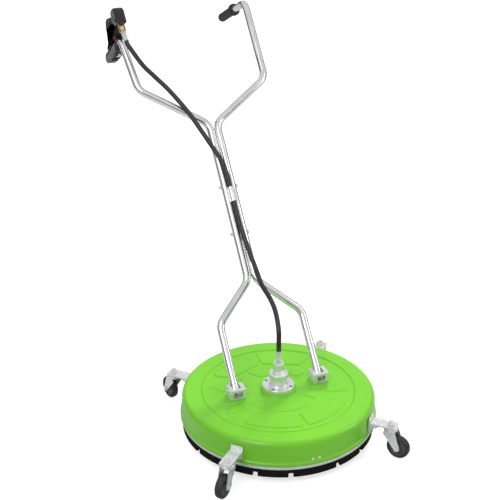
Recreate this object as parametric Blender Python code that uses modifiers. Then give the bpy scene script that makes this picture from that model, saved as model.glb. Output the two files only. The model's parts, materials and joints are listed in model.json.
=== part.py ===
"""Walk-behind surface cleaner: a round spray deck on four casters, steered by a folding tube handle
with a spray gun. Metres, +Z up. X runs across the machine, +Y from the deck towards the operator.
Everything hangs on the empty `machine`, which the last step moves so that the middle of the whole
box's underside is the origin."""
import math

import bmesh
import bpy
from mathutils import Quaternion, Vector

for old in list(bpy.data.objects):
    bpy.data.objects.remove(old)

# ---- deck -------------------------------------------------------------------------------------
GAP = 0.0003                # clearance between pieces that touch
SIDES = 40                  # facets round the deck
DECK_RADIUS = 0.3045        # outside of the wall at its foot
DECK_TOP = 0.137            # height of the top plate
DECK_SHEET = 0.003
DECK_DRAFT = 0.002          # the wall leans in by this much towards the top
DECK_SHOULDER = 0.018       # rounding between top and wall
DECK_FOOT = 0.0605          # lower edge of the lip
LIP_HEIGHT = 0.010
LIP_PROUD = 0.004           # the lip stands out from the wall
BOSS_RISE = 0.007           # raised seat of the hub
BOSS_RADIUS = 0.056
DECK_BORE = 0.0215          # hole that the hub's spigot goes through
BAND_THICKNESS = 0.003
BAND_FOOT = 0.049
BRUSH_THICKNESS = 0.0075
BRUSH_FOOT = 0.0195
BRUSH_TOP = 0.0595
NOTCHES = 9                 # in each half brush
NOTCH_WIDTH = 0.015
NOTCH_HEIGHT = 0.015
NOTCH_PITCH = math.radians(19.1)

# ---- hub and rotor ----------------------------------------------------------------------------
FLANGE_RADIUS = 0.0505
FLANGE_THICKNESS = 0.0125
HUB_RADIUS = 0.0305
HUB_HEIGHT = 0.041          # body above the flange
HUB_BORE = 0.0125
SPIGOT_LENGTH = 0.016
SCREW_CIRCLE = 0.042
SCREW_HEAD = 0.0045
SCREW_SHANK = 0.0025
NIPPLE_FLATS = 0.031
NIPPLE_HEX_HEIGHT = 0.031
NIPPLE_NECK = 0.012
NIPPLE_NECK_HEIGHT = 0.007
NIPPLE_SPIGOT = 0.009
FERRULE_RADIUS = 0.00875
FERRULE_LENGTH = 0.037
HOSE_RADIUS = 0.0078
SPRAY_BAR_Z = 0.088
SPRAY_BAR_LENGTH = 2 * (DECK_RADIUS - 0.0495)
SPRAY_BAR_RADIUS = 0.0075
SPRAY_BOSS_RADIUS = 0.019
SPRAY_BOSS_HEIGHT = 0.024
NOZZLE_RADIUS = 0.008
NOZZLE_LENGTH = 0.018
NOZZLE_REACH = SPRAY_BAR_LENGTH / 2 - 0.015

# ---- casters ----------------------------------------------------------------------------------
CASTER_CIRCLE = DECK_RADIUS + 0.067     # swivel axes from the deck's axis
CASTER_SPOTS = (("front_right", -45, -52), ("front_left", -135, 222),
                ("rear_left", 135, 103), ("rear_right", 45, 62))  # name, azimuth, trail azimuth
BRACKET_WIDTH = 0.038
BRACKET_SHEET = 0.005
BRACKET_Z = 0.0995          # underside of the arm
BRACKET_REACH = 0.0185      # arm past the swivel axis
WALL_PLATE_FOOT = 0.0735
WALL_PLATE_TOP = 0.1175
WALL_PLATE_SHEET = 0.004
GUSSET_LENGTH = 0.034
GUSSET_DROP = 0.021
GUSSET_SHEET = 0.0025
STEM_RADIUS = 0.006
NUT_FLATS = 0.019
NUT_HEIGHT = 0.010
STEM_PROUD = 0.005
RACE_RADIUS = 0.021
RACE_HEIGHT = 0.0065
FORK_TOP_RADIUS = 0.022
FORK_SHEET = 0.003
WHEEL_RADIUS = 0.0365
WHEEL_WIDTH = 0.025
WHEEL_TRAIL = 0.0275
TYRE_THICKNESS = 0.009
CORE_BORE = 0.0045
AXLE_HEAD = 0.0075
AXLE_HEAD_HEIGHT = 0.004
WHEEL_PLAY = 0.0015         # between wheel and fork, each side

# ---- handle clamps ----------------------------------------------------------------------------
LEG_X = 0.1395              # both handle legs and their clamps
CLAMP_WIDTH = 0.054
CLAMP_FRONT = -0.019
CLAMP_BACK = 0.027
CLAMP_BASE_HEIGHT = 0.0257
CLAMP_CAP_HEIGHT = 0.0083
CLAMP_BRIDGE = 0.009        # front web that joins the cap's two cheeks
CLAMP_FLOOR = 0.0052        # metal under the slot
SLOT_PLAY = 0.001           # each side of the tube
PIN_RADIUS = 0.004
PIN_HEAD = 0.0065
PIN_HEAD_HEIGHT = 0.003
PIVOT_Y = 0.010
PIVOT_RISE = 0.020          # tilt axis above the deck's top

# ---- handle, in its own plane: X across, `along` up the slope, `proud` out of its upper side ----
SLOPE = math.radians(48.1)
TUBE_RADIUS = 0.0127
TUBE_WALL = 0.0016
TUBE_RESOLUTION = 3         # 10 sides
TUBE_TAIL = 0.006           # tube past the tilt axis
TUBE_GAP = 0.0003           # half the gap where the two tubes run side by side
KNEE_ALONG = 0.2113
WAIST_ALONG = 0.3377
FORK_ALONG = 0.8932
ARM_ALONG = 1.0416
ARM_X = 0.2250
RIGHT_END_ALONG = 1.3377
RIGHT_GRIP_DROP = math.radians(71.2)     # turn of the right end out of the handle's plane
RIGHT_STRAIGHT = 0.262
LEFT_END_ALONG = 1.229
LEFT_END_X = 0.2454
LEFT_GRIP_DROP = math.radians(74.6)
LEFT_STRAIGHT = 0.110
BEND = 0.055                # bend radius in the handle's plane
HAND_BENDS = {-1: 0.024, 1: 0.045}   # left and right hand ends
GRIP_RADIUS = 0.0165
GRIP_START = 0.120
GRIP_FLANGE = 0.022
GRIP_FLANGE_WIDTH = 0.006
GRIP_CLOSED_END = 0.004
LOWER_BOLT_ALONG = 0.500
UPPER_BOLT_ALONG = 0.6647
BOLT_RADIUS = 0.0032
BOLT_HEAD = 0.0065
BOLT_HEAD_HEIGHT = 0.0045
CLIP_ALONG = 0.630
CLIP_LENGTH = 0.050
CLIP_SHEET = 0.0016
HOSE_PROUD = 0.0172         # the hose lies in the valley between the tubes
HOSE_PLAY = 0.0006

# ---- gun, in its own frame: `back` along its lower bar towards the operator, `up` square to it ----
GUN_HALF = 0.018
GUN_ROUND = 0.006
SOCKET_START = 0.020        # where the tube goes into the lower bar
VALVE_RADIUS = 0.011
VALVE_TOP = 0.086
VALVE_FOOT = 0.048          # underside of the gun's head
OUTLET_BACK = -0.030
OUTLET_LEAN = math.radians(15.2)
OUTLET_SPLAY = math.radians(6.0)
OUTLET_FLATS = 0.021
OUTLET_LENGTH = 0.026
OUTLET_BORE = 0.0035
PLUNGER_RADIUS = 0.0028
PLUNGER_LENGTH = 0.030
PLUNGER_PROUD = 0.0075       # plunger above the valve
TRIGGER_PIVOT = (0.008, 0.086)
TRIGGER_HALF = 0.006
TRUNNION_RADIUS = 0.003
LATCH_PIVOT = (0.088, 0.0360)
LATCH_HALF = 0.005
INLET_BACK = 0.062
INLET_RADIUS = 0.0095
INLET_LENGTH = 0.004
GUN_BAR_FOOT = -0.034

COLOURS = {  # name: (colour, roughness, metallic)
    "green_paint": ((0.28, 0.75, 0.07, 1.0), 0.30, 0.0),
    "bristle_black": ((0.02, 0.02, 0.02, 1.0), 0.80, 0.0),
    "polished_steel": ((0.80, 0.80, 0.82, 1.0), 0.15, 1.0),
    "zinc_plate": ((0.75, 0.76, 0.78, 1.0), 0.30, 1.0),
    "machined_aluminium": ((0.82, 0.83, 0.84, 1.0), 0.25, 1.0),
    "tyre_rubber": ((0.04, 0.04, 0.04, 1.0), 0.60, 0.0),
    "wheel_core": ((0.12, 0.12, 0.12, 1.0), 0.45, 0.0),
    "gun_plastic": ((0.03, 0.03, 0.035, 1.0), 0.45, 0.0),
    "grip_rubber": ((0.03, 0.03, 0.03, 1.0), 0.70, 0.0),
    "brass": ((0.78, 0.60, 0.32, 1.0), 0.25, 1.0),
    "latch_red": ((0.45, 0.03, 0.04, 1.0), 0.40, 0.0),
    "hose_rubber": ((0.03, 0.03, 0.03, 1.0), 0.50, 0.0),
}


# ---- helpers ------------------------------------------------------------------------------------
parts = bpy.data.collections.new("surface_cleaner")
cutters = bpy.data.collections.new("cutters")
bpy.context.scene.collection.children.link(parts)
bpy.context.scene.collection.children.link(cutters)


def material(name):
    found = bpy.data.materials.get(name)
    if found:
        return found
    colour, roughness, metallic = COLOURS[name]
    made = bpy.data.materials.new(name)
    made.use_nodes = True
    made.diffuse_color = colour
    shader = made.node_tree.nodes["Principled BSDF"]
    shader.inputs["Base Color"].default_value = colour
    shader.inputs["Roughness"].default_value = roughness
    shader.inputs["Metallic"].default_value = metallic
    return made


def empty(name, parent=None, location=(0, 0, 0), rotation=(0, 0, 0)):
    made = bpy.data.objects.new(name, None)
    parts.objects.link(made)
    made.parent = parent
    made.location = location
    made.rotation_euler = rotation
    return made


def add(name, mesh, finish, parent, location=(0, 0, 0), rotation=(0, 0, 0), smooth=True):
    """A named part from a mesh, or a cutter where finish is None."""
    made = bpy.data.objects.new(name, mesh)
    made.parent = parent
    made.location = location
    made.rotation_euler = rotation
    if finish:
        parts.objects.link(made)
        mesh.materials.append(material(finish))
        if smooth:
            mesh.shade_smooth()
            mesh.set_sharp_from_angle(angle=math.radians(35))
    else:
        cutters.objects.link(made)
        made.hide_render = True
        made.display_type = "WIRE"
    return made


def mesh_of(name, work):
    mesh = bpy.data.meshes.new(name)
    work.to_mesh(mesh)
    work.free()
    return mesh


def box_mesh(name, low, high):
    work = bmesh.new()
    bmesh.ops.create_cube(work, size=1.0)
    low = Vector(low)
    high = Vector(high)
    for vert in work.verts:
        spot = vert.co + Vector((0.5, 0.5, 0.5))
        vert.co = [low[k] + spot[k] * (high[k] - low[k]) for k in range(3)]
    return mesh_of(name, work)


def rod_mesh(name, radius, start, end, sides=24):
    """A straight rod or, with six sides, a hexagon from start to end."""
    start = Vector(start)
    end = Vector(end)
    work = bmesh.new()
    bmesh.ops.create_cone(work, cap_ends=True, segments=sides, radius1=radius, radius2=radius,
                          depth=(end - start).length)
    turn = (end - start).to_track_quat("Z", "Y").to_matrix()
    bmesh.ops.rotate(work, matrix=turn, verts=work.verts)
    bmesh.ops.translate(work, vec=(start + end) / 2, verts=work.verts)
    return mesh_of(name, work)


def screw(target, sides):
    spin = target.modifiers.new("turn", "SCREW")
    spin.axis = "Z"
    spin.angle = math.tau
    spin.screw_offset = 0.0
    spin.steps = sides
    spin.render_steps = sides
    spin.use_merge_vertices = True
    spin.merge_threshold = 0.00001
    spin.use_smooth_shade = True


def profile_mesh(name, outline, closed):
    """The half outline (radius, height) of a turned piece, down its outer side."""
    count = len(outline)
    edges = [(k, k + 1) for k in range(count - 1)]
    if closed:
        edges.append((count - 1, 0))
    mesh = bpy.data.meshes.new(name)
    mesh.from_pydata([(r, 0.0, z) for r, z in outline], edges, [])
    return mesh


def turned(name, outline, finish, parent, sides=32, location=(0, 0, 0), rotation=(0, 0, 0)):
    """A turned solid. An outline that leaves the axis is a closed ring; one that starts and ends
    on the axis is a solid."""
    closed = outline[0][0] > 0
    made = add(name, profile_mesh(name, outline, closed), finish, parent, location, rotation, False)
    screw(made, sides)
    return made


def as_mesh(curve_object, name):
    """The evaluated mesh of a curve, with its caps welded on."""
    graph = bpy.context.evaluated_depsgraph_get()
    mesh = bpy.data.meshes.new_from_object(curve_object.evaluated_get(graph))
    mesh.name = name
    work = bmesh.new()
    work.from_mesh(mesh)
    bmesh.ops.remove_doubles(work, verts=work.verts, dist=0.00001)
    work.to_mesh(mesh)
    work.free()
    bpy.data.objects.remove(curve_object)
    return mesh


def plate_mesh(name, outlines, low, high):
    """A flat plate between two values of X. Each outline is a closed list of (y, z), and every
    outline after the first is a hole."""
    curve = bpy.data.curves.new(name, "CURVE")
    curve.dimensions = "2D"
    curve.fill_mode = "BOTH"
    curve.extrude = (high - low) / 2
    for outline in outlines:
        spline = curve.splines.new("POLY")
        spline.points.add(len(outline) - 1)
        for point, (y, z) in zip(spline.points, outline):
            point.co = (y, z, 0.0, 1.0)
        spline.use_cyclic_u = True
    flat = bpy.data.objects.new(name, curve)
    cutters.objects.link(flat)
    bpy.context.view_layer.update()
    mesh = as_mesh(flat, name)
    middle = (low + high) / 2
    for vert in mesh.vertices:
        y, z, x = vert.co
        vert.co = (x + middle, y, z)
    return mesh


def pipe_mesh(name, points, radius, resolution, capped):
    """A round tube or rod along a list of points."""
    curve = bpy.data.curves.new(name, "CURVE")
    curve.dimensions = "3D"
    curve.bevel_depth = radius
    curve.bevel_resolution = resolution
    curve.use_fill_caps = capped
    spline = curve.splines.new("POLY")
    spline.points.add(len(points) - 1)
    for point, spot in zip(spline.points, points):
        point.co = (*spot, 1.0)
    run = bpy.data.objects.new(name, curve)
    cutters.objects.link(run)
    bpy.context.view_layer.update()
    return as_mesh(run, name)


def boolean(target, tool, operation="DIFFERENCE"):
    change = target.modifiers.new(operation.lower(), "BOOLEAN")
    change.operation = operation
    change.solver = "EXACT"
    change.object = tool
    return target


def cut(target, mesh, location=(0, 0, 0), rotation=(0, 0, 0)):
    return boolean(target, add(mesh.name, mesh, None, target.parent, location, rotation))


def join(target, mesh, location=(0, 0, 0), rotation=(0, 0, 0)):
    tool = add(mesh.name, mesh, None, target.parent, location, rotation)
    return boolean(target, tool, "UNION")


def bevel(target, width, segments=2, angle=40):
    edge = target.modifiers.new("edges", "BEVEL")
    edge.width = width
    edge.segments = segments
    edge.limit_method = "ANGLE"
    edge.angle_limit = math.radians(angle)
    edge.use_clamp_overlap = True
    return target


def arc(middle, radius, start, end, steps):
    """Points on an arc, angles in degrees."""
    turns = [math.radians(start + (end - start) * k / steps) for k in range(steps + 1)]
    return [(middle[0] + radius * math.cos(t), middle[1] + radius * math.sin(t)) for t in turns]


def bent(corners, radii, steps=4):
    """A path through corners, with an arc of the given radius at each inner corner."""
    corners = [Vector(c) for c in corners]
    path = [corners[0]]
    for k, radius in enumerate(radii, start=1):
        back = (corners[k - 1] - corners[k]).normalized()
        ahead = (corners[k + 1] - corners[k]).normalized()
        half = back.angle(ahead) / 2
        middle = corners[k] + (back + ahead).normalized() * radius / math.sin(half)
        first = corners[k] + back * radius / math.tan(half) - middle
        last = corners[k] + ahead * radius / math.tan(half) - middle
        turn = first.angle(last)
        axis = first.cross(last).normalized()
        for step in range(steps + 1):
            path.append(middle + Quaternion(axis, turn * step / steps) @ first)
    path.append(corners[-1])
    return path


def smooth_route(route, spacing):
    """Points a given distance apart on a smooth curve through the route's own points."""
    route = [Vector(p) for p in route]
    ends = [2 * route[0] - route[1]] + route + [2 * route[-1] - route[-2]]
    dense = []
    for a, b, c, d in zip(ends, ends[1:], ends[2:], ends[3:]):
        for step in range(20):
            t = step / 20
            dense.append(0.5 * (2 * b + (c - a) * t + (2 * a - 5 * b + 4 * c - d) * t * t
                                + (3 * b - a - 3 * c + d) * t * t * t))
    dense.append(route[-1])
    lengths = [(q - p).length for p, q in zip(dense, dense[1:])]
    count = max(2, round(sum(lengths) / spacing))
    step = sum(lengths) / count
    points = [dense[0]]
    walked = 0.0
    for spot, length in zip(dense[1:], lengths):
        walked += length
        if walked >= step * len(points) and len(points) < count:
            points.append(spot)
    points.append(dense[-1])
    return points


# ---- deck ---------------------------------------------------------------------------------------
def deck(machine):
    shoulder_top = DECK_TOP - DECK_SHOULDER
    wall_top = DECK_RADIUS - DECK_DRAFT
    lip_top = DECK_FOOT + LIP_HEIGHT
    lip = DECK_RADIUS + LIP_PROUD
    boss_top = DECK_TOP + BOSS_RISE
    outline = [(DECK_BORE, boss_top), (BOSS_RADIUS, boss_top), (BOSS_RADIUS + BOSS_RISE, DECK_TOP)]
    outline += arc((wall_top - DECK_SHOULDER, shoulder_top), DECK_SHOULDER, 90, 0, 3)
    outline += [(DECK_RADIUS, lip_top + LIP_PROUD), (lip, lip_top), (lip, DECK_FOOT)]
    shell = add("deck_housing", profile_mesh("deck_housing", outline, False), "green_paint",
                machine, smooth=False)
    screw(shell, SIDES)
    wall = shell.modifiers.new("sheet", "SOLIDIFY")
    wall.thickness = DECK_SHEET
    wall.offset = -1.0

    band_outer = lip - DECK_SHEET - GAP
    band_inner = band_outer - BAND_THICKNESS
    band_top = lip_top - GAP - DECK_SHEET
    turned("skirt_band", [(band_inner, band_top), (band_outer, band_top), (band_outer, BAND_FOOT),
                          (band_inner, BAND_FOOT)], "zinc_plate", machine, SIDES)
    half_brush("brush_front", band_inner - GAP, -90, machine)
    half_brush("brush_rear", band_inner - GAP, 90, machine)


def half_brush(name, outer, middle, machine):
    """Half of the bristle ring, with a row of notches in its foot."""
    inner = outer - BRUSH_THICKNESS
    end = math.degrees(math.asin(2 * GAP / outer)) + 0.1
    first = middle - 90 + end
    last = middle + 90 - end
    ring = arc((0, 0), outer, first, last, SIDES // 2) + arc((0, 0), inner, last, first, SIDES // 2)
    mesh = plate_mesh(name, [ring], BRUSH_FOOT, BRUSH_TOP)
    for vert in mesh.vertices:
        z, x, y = vert.co
        vert.co = (x, y, z)
    brush = add(name, mesh, "bristle_black", machine, smooth=False)
    teeth = bmesh.new()
    for k in range(NOTCHES):
        turn = math.radians(middle) + (k - (NOTCHES - 1) / 2) * NOTCH_PITCH
        made = bmesh.ops.create_cube(teeth, size=1.0)
        reach = BRUSH_THICKNESS * 3
        for vert in made["verts"]:
            far = (inner + outer) / 2 + vert.co.x * reach
            aside = vert.co.y * NOTCH_WIDTH
            height = BRUSH_FOOT + vert.co.z * 2 * NOTCH_HEIGHT
            vert.co = (far * math.cos(turn) - aside * math.sin(turn),
                       far * math.sin(turn) + aside * math.cos(turn), height)
    cut(brush, mesh_of(name + "_notches", teeth))


# ---- hub and rotor ------------------------------------------------------------------------------
def hub(machine):
    seat = DECK_TOP + BOSS_RISE + GAP
    flange_top = seat + FLANGE_THICKNESS
    top = flange_top + HUB_HEIGHT
    foot = seat - SPIGOT_LENGTH
    spigot = DECK_BORE - 2 * GAP
    throat = NIPPLE_SPIGOT + GAP
    shaft_top = top - NIPPLE_SPIGOT - 0.006
    outline = [(throat, top), (HUB_RADIUS - 0.002, top), (HUB_RADIUS, top - 0.002),
               (HUB_RADIUS, flange_top), (FLANGE_RADIUS - 0.001, flange_top),
               (FLANGE_RADIUS, flange_top - 0.001), (FLANGE_RADIUS, seat), (spigot, seat),
               (spigot, foot), (HUB_BORE, foot), (HUB_BORE, shaft_top), (throat, shaft_top)]
    housing = turned("hub_housing", outline, "machined_aluminium", machine, 24)
    for k in range(4):
        turn = math.radians(45 + 90 * k)
        x = SCREW_CIRCLE * math.cos(turn)
        y = SCREW_CIRCLE * math.sin(turn)
        pocket = flange_top - 0.0055
        cut(housing, rod_mesh("screw_pocket", SCREW_HEAD + 2 * GAP, (x, y, pocket), (x, y, top), 8))
        cut(housing, rod_mesh("screw_hole", SCREW_SHANK + GAP, (x, y, seat - 0.002),
                              (x, y, pocket + 0.001), 8))
        screw_outline = [(0, pocket + 0.0048), (SCREW_HEAD, pocket + 0.0048),
                         (SCREW_HEAD, pocket + GAP), (SCREW_SHANK, pocket + GAP),
                         (SCREW_SHANK, seat + GAP), (0, seat + GAP)]
        turned(f"hub_screw_{k + 1}", screw_outline, "zinc_plate", machine, 8, (x, y, 0))

    hex_foot = top + GAP
    hex_top = hex_foot + NIPPLE_HEX_HEIGHT
    neck_top = hex_top + NIPPLE_NECK_HEIGHT
    nipple = add("swivel_inlet", rod_mesh("swivel_inlet", NIPPLE_FLATS / math.sqrt(3),
                                          (0, 0, hex_foot), (0, 0, hex_top), 6),
                 "machined_aluminium", machine)
    join(nipple, rod_mesh("nipple_neck", NIPPLE_NECK, (0, 0, hex_top - 0.002), (0, 0, neck_top)))
    join(nipple, rod_mesh("nipple_spigot", NIPPLE_SPIGOT, (0, 0, shaft_top + 2 * GAP),
                          (0, 0, hex_foot + 0.002)))
    bore = HOSE_RADIUS * 0.45
    cut(nipple, rod_mesh("nipple_bore", bore, (0, 0, shaft_top - 0.01), (0, 0, neck_top + 0.01), 12))

    ferrule_foot = neck_top + GAP
    turned("hub_ferrule", ferrule_outline(), "zinc_plate", machine, 16, (0, 0, ferrule_foot))
    rotor(machine, foot, shaft_top - 0.003)
    return Vector((0, 0, ferrule_foot + FERRULE_LENGTH + GAP))


def ferrule_outline():
    """A crimped sleeve that stands on the origin, with a narrower collar at its foot."""
    collar = FERRULE_RADIUS * 0.8
    return [(0, FERRULE_LENGTH), (FERRULE_RADIUS, FERRULE_LENGTH), (FERRULE_RADIUS, 0.006),
            (collar, 0.004), (collar, 0), (0, 0)]


def rotor(machine, foot, shaft_top):
    """The shaft that the water turns, its spray bar and the two nozzles under the deck."""
    boss_foot = SPRAY_BAR_Z - SPRAY_BOSS_HEIGHT / 2
    boss_top = SPRAY_BAR_Z + SPRAY_BOSS_HEIGHT / 2
    shaft_radius = HUB_BORE - GAP
    shaft_foot = SPRAY_BAR_Z - 0.004
    outline = [(0, shaft_top), (shaft_radius - 0.001, shaft_top),
               (shaft_radius, shaft_top - 0.001), (shaft_radius, shaft_foot), (0, shaft_foot)]
    turned("rotor_shaft", outline, "polished_steel", machine, 24)
    half = SPRAY_BAR_LENGTH / 2
    bar = add("spray_bar", rod_mesh("spray_bar", SPRAY_BAR_RADIUS, (-half, 0, SPRAY_BAR_Z),
                                    (half, 0, SPRAY_BAR_Z), 16), "polished_steel", machine)
    join(bar, rod_mesh("spray_boss", SPRAY_BOSS_RADIUS, (0, 0, boss_foot), (0, 0, boss_top), 24))
    cut(bar, rod_mesh("boss_bore", shaft_radius + GAP, (0, 0, shaft_foot - GAP),
                      (0, 0, foot), 24))
    top = SPRAY_BAR_Z - SPRAY_BAR_RADIUS - GAP
    for side, name in ((-1, "nozzle_left"), (1, "nozzle_right")):
        outline = [(0, top), (NOZZLE_RADIUS, top), (NOZZLE_RADIUS, top - NOZZLE_LENGTH * 0.6),
                   (NOZZLE_RADIUS * 0.6, top - NOZZLE_LENGTH), (0, top - NOZZLE_LENGTH)]
        turned(name, outline, "brass", machine, 16, (side * NOZZLE_REACH, 0, 0))


# ---- casters ------------------------------------------------------------------------------------
def caster(machine, spot, azimuth, trail_azimuth):
    """One corner: bracket, stem with its nut and race, and the swivelling fork with its wheel."""
    azimuth = math.radians(azimuth)
    arm = empty("arm_" + spot, machine, rotation=(0, 0, azimuth))
    half = BRACKET_WIDTH / 2
    wall = DECK_RADIUS + 0.001
    arm_top = BRACKET_Z + BRACKET_SHEET
    bracket = add("caster_bracket_" + spot,
                  box_mesh("arm_plate", (wall, -half, BRACKET_Z),
                           (CASTER_CIRCLE + BRACKET_REACH, half, arm_top)), "zinc_plate", arm)
    join(bracket, box_mesh("wall_plate", (wall, -half, WALL_PLATE_FOOT),
                           (wall + WALL_PLATE_SHEET, half, WALL_PLATE_TOP)))
    for side in (-1, 1):
        gusset_wall = wall + WALL_PLATE_SHEET - 0.001
        outline = [(gusset_wall, BRACKET_Z + 0.001), (gusset_wall, BRACKET_Z - GUSSET_DROP),
                   (gusset_wall + GUSSET_LENGTH, BRACKET_Z + 0.001)]
        low = side * half if side < 0 else half - GUSSET_SHEET
        mesh = plate_mesh("gusset", [outline], low, low + GUSSET_SHEET)
        for vert in mesh.vertices:
            across, out, up = vert.co
            vert.co = (out, across, up)
        mesh.flip_normals()
        join(bracket, mesh)
    cut(bracket, rod_mesh("stem_hole", STEM_RADIUS + GAP, (CASTER_CIRCLE, 0, BRACKET_Z - 0.01),
                          (CASTER_CIRCLE, 0, arm_top + 0.01), 16))

    swivel = empty("swivel_" + spot, machine,
                   (CASTER_CIRCLE * math.cos(azimuth), CASTER_CIRCLE * math.sin(azimuth), 0),
                   (0, 0, math.radians(trail_azimuth)))
    nut_foot = arm_top + GAP
    nut_top = nut_foot + NUT_HEIGHT
    race_top = BRACKET_Z - GAP
    race_foot = race_top - RACE_HEIGHT
    plate_foot = race_foot - GAP - FORK_SHEET
    outline = [(0, race_top), (RACE_RADIUS * 0.75, race_top), (RACE_RADIUS, race_top - 0.003),
               (RACE_RADIUS, race_foot), (STEM_RADIUS, race_foot), (STEM_RADIUS, plate_foot - GAP),
               (STEM_RADIUS * 1.6, plate_foot - GAP), (STEM_RADIUS * 1.6, plate_foot - 0.003),
               (0, plate_foot - 0.003)]
    stem = turned("caster_stem_" + spot, outline, "zinc_plate", swivel, 12)
    join(stem, rod_mesh("nut", NUT_FLATS / math.sqrt(3), (0, 0, nut_foot), (0, 0, nut_top), 6))
    join(stem, rod_mesh("thread", STEM_RADIUS, (0, 0, race_top - 0.002),
                        (0, 0, nut_top + STEM_PROUD), 8))

    fork_inner = WHEEL_WIDTH / 2 + WHEEL_PLAY
    fork_outer = fork_inner + FORK_SHEET
    plate_top = race_foot - GAP
    axle_z = WHEEL_RADIUS
    leg = [(-0.015, plate_top - 0.0005), (0.017, plate_top - 0.0005), (0.022, plate_top - 0.012)]
    leg += arc((WHEEL_TRAIL, axle_z), 0.010, 25, -155, 4)
    leg += [(-0.019, plate_top - 0.014)]
    fork = turned("caster_fork_" + spot,
                  [(STEM_RADIUS + GAP, plate_top), (FORK_TOP_RADIUS, plate_top),
                   (FORK_TOP_RADIUS, plate_foot), (STEM_RADIUS + GAP, plate_foot)],
                  "zinc_plate", swivel, 16)
    for side in (-1, 1):
        low = fork_inner if side > 0 else -fork_outer
        mesh = plate_mesh("fork_leg", [leg], low, low + FORK_SHEET)
        for vert in mesh.vertices:
            across, out, up = vert.co
            vert.co = (out, across, up)
        mesh.flip_normals()
        join(fork, mesh)
    cut(fork, rod_mesh("axle_hole", CORE_BORE, (WHEEL_TRAIL, -0.03, axle_z),
                       (WHEEL_TRAIL, 0.03, axle_z), 12))

    wheel = empty("wheel_" + spot, swivel, (WHEEL_TRAIL, 0, axle_z), (math.radians(-90), 0, 0))
    head = fork_outer + GAP
    axle = [(0, head + AXLE_HEAD_HEIGHT), (AXLE_HEAD, head + AXLE_HEAD_HEIGHT), (AXLE_HEAD, head),
            (CORE_BORE - GAP, head), (CORE_BORE - GAP, -head), (AXLE_HEAD, -head),
            (AXLE_HEAD, -head - AXLE_HEAD_HEIGHT), (0, -head - AXLE_HEAD_HEIGHT)]
    turned("caster_axle_" + spot, axle, "zinc_plate", wheel, 8)
    rim = WHEEL_RADIUS - TYRE_THICKNESS
    side = WHEEL_WIDTH / 2
    core = [(CORE_BORE + GAP, side), (0.011, side), (0.013, side - 0.004), (rim, side - 0.003),
            (rim, -side + 0.003), (0.013, -side + 0.004), (0.011, -side), (CORE_BORE + GAP, -side)]
    turned("caster_core_" + spot, core, "wheel_core", wheel, 24)
    tyre = [(rim + GAP, side - 0.003), (WHEEL_RADIUS - 0.005, side - 0.001),
            (WHEEL_RADIUS, side - 0.006), (WHEEL_RADIUS, -side + 0.006),
            (WHEEL_RADIUS - 0.005, -side + 0.001),
            (rim + GAP, -side + 0.003)]
    turned("caster_tyre_" + spot, tyre, "tyre_rubber", wheel, 24)


# ---- handle clamps ------------------------------------------------------------------------------
def clamp(machine, side, name):
    """Base, cap and cross pin of one handle leg, in a frame on the leg's tilt axis."""
    seat = DECK_TOP + GAP
    base_top = seat + CLAMP_BASE_HEIGHT
    pivot = empty("pivot_" + name, machine, (side * LEG_X, PIVOT_Y, DECK_TOP + PIVOT_RISE))
    front = CLAMP_FRONT - PIVOT_Y
    back = CLAMP_BACK - PIVOT_Y
    half = CLAMP_WIDTH / 2
    slot = TUBE_RADIUS + SLOT_PLAY
    low = seat - DECK_TOP - PIVOT_RISE
    split = base_top - DECK_TOP - PIVOT_RISE
    top = split + GAP + CLAMP_CAP_HEIGHT
    base = add("clamp_base_" + name, box_mesh("base", (-half, front, low), (half, back, split)),
               "machined_aluminium", pivot, smooth=False)
    bevel(base, 0.0012, 1)
    cut(base, box_mesh("base_slot", (-slot, front - 0.01, low + CLAMP_FLOOR),
                       (slot, back + 0.01, top)))
    cut(base, rod_mesh("pin_hole", PIN_RADIUS + GAP, (-half - 0.01, 0, 0), (half + 0.01, 0, 0), 16))
    cap = add("clamp_cap_" + name, box_mesh("cap", (-half, front, split + GAP), (half, back, top)),
              "machined_aluminium", pivot, smooth=False)
    bevel(cap, 0.0012, 1)
    cut(cap, box_mesh("cap_slot", (-slot, front + CLAMP_BRIDGE, split - 0.01),
                      (slot, back + 0.01, top + 0.01)))
    head = half + GAP
    outline = [(0, head + PIN_HEAD_HEIGHT), (PIN_HEAD, head + PIN_HEAD_HEIGHT), (PIN_HEAD, head),
               (PIN_RADIUS, head), (PIN_RADIUS, -head), (PIN_HEAD, -head),
               (PIN_HEAD, -head - PIN_HEAD_HEIGHT), (0, -head - PIN_HEAD_HEIGHT)]
    turned("pivot_pin_" + name, outline, "zinc_plate", pivot, 16, rotation=(0, math.radians(90), 0))


# ---- handle -------------------------------------------------------------------------------------
def handle_tube(handle, side, name, end_x, end_along, drop, straight, bolts):
    """One bent tube from its clamp to its hand end."""
    waist = TUBE_RADIUS + TUBE_GAP
    hand = (0.0, straight * math.cos(drop), -straight * math.sin(drop))
    corners = [(side * LEG_X, -TUBE_TAIL, 0), (side * LEG_X, KNEE_ALONG, 0),
               (side * waist, WAIST_ALONG, 0), (side * waist, FORK_ALONG, 0),
               (side * ARM_X, ARM_ALONG, 0), (side * end_x, end_along, 0),
               (side * end_x + hand[0], end_along + hand[1], hand[2])]
    path = bent(corners, (BEND, BEND, BEND, BEND, HAND_BENDS[side]))
    tube = add(name, pipe_mesh(name, path, TUBE_RADIUS, TUBE_RESOLUTION, False),
               "polished_steel", handle)
    wall = tube.modifiers.new("wall", "SOLIDIFY")
    wall.thickness = TUBE_WALL
    wall.offset = -1.0
    across = TUBE_RADIUS * 2
    cut(tube, rod_mesh("pin_way", PIN_RADIUS + GAP, (side * LEG_X - across, 0, 0),
                       (side * LEG_X + across, 0, 0), 16))
    for along in bolts:
        cut(tube, rod_mesh("bolt_way", BOLT_RADIUS + GAP, (-across * 2, along, 0),
                           (across * 2, along, 0), 12))


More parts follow.
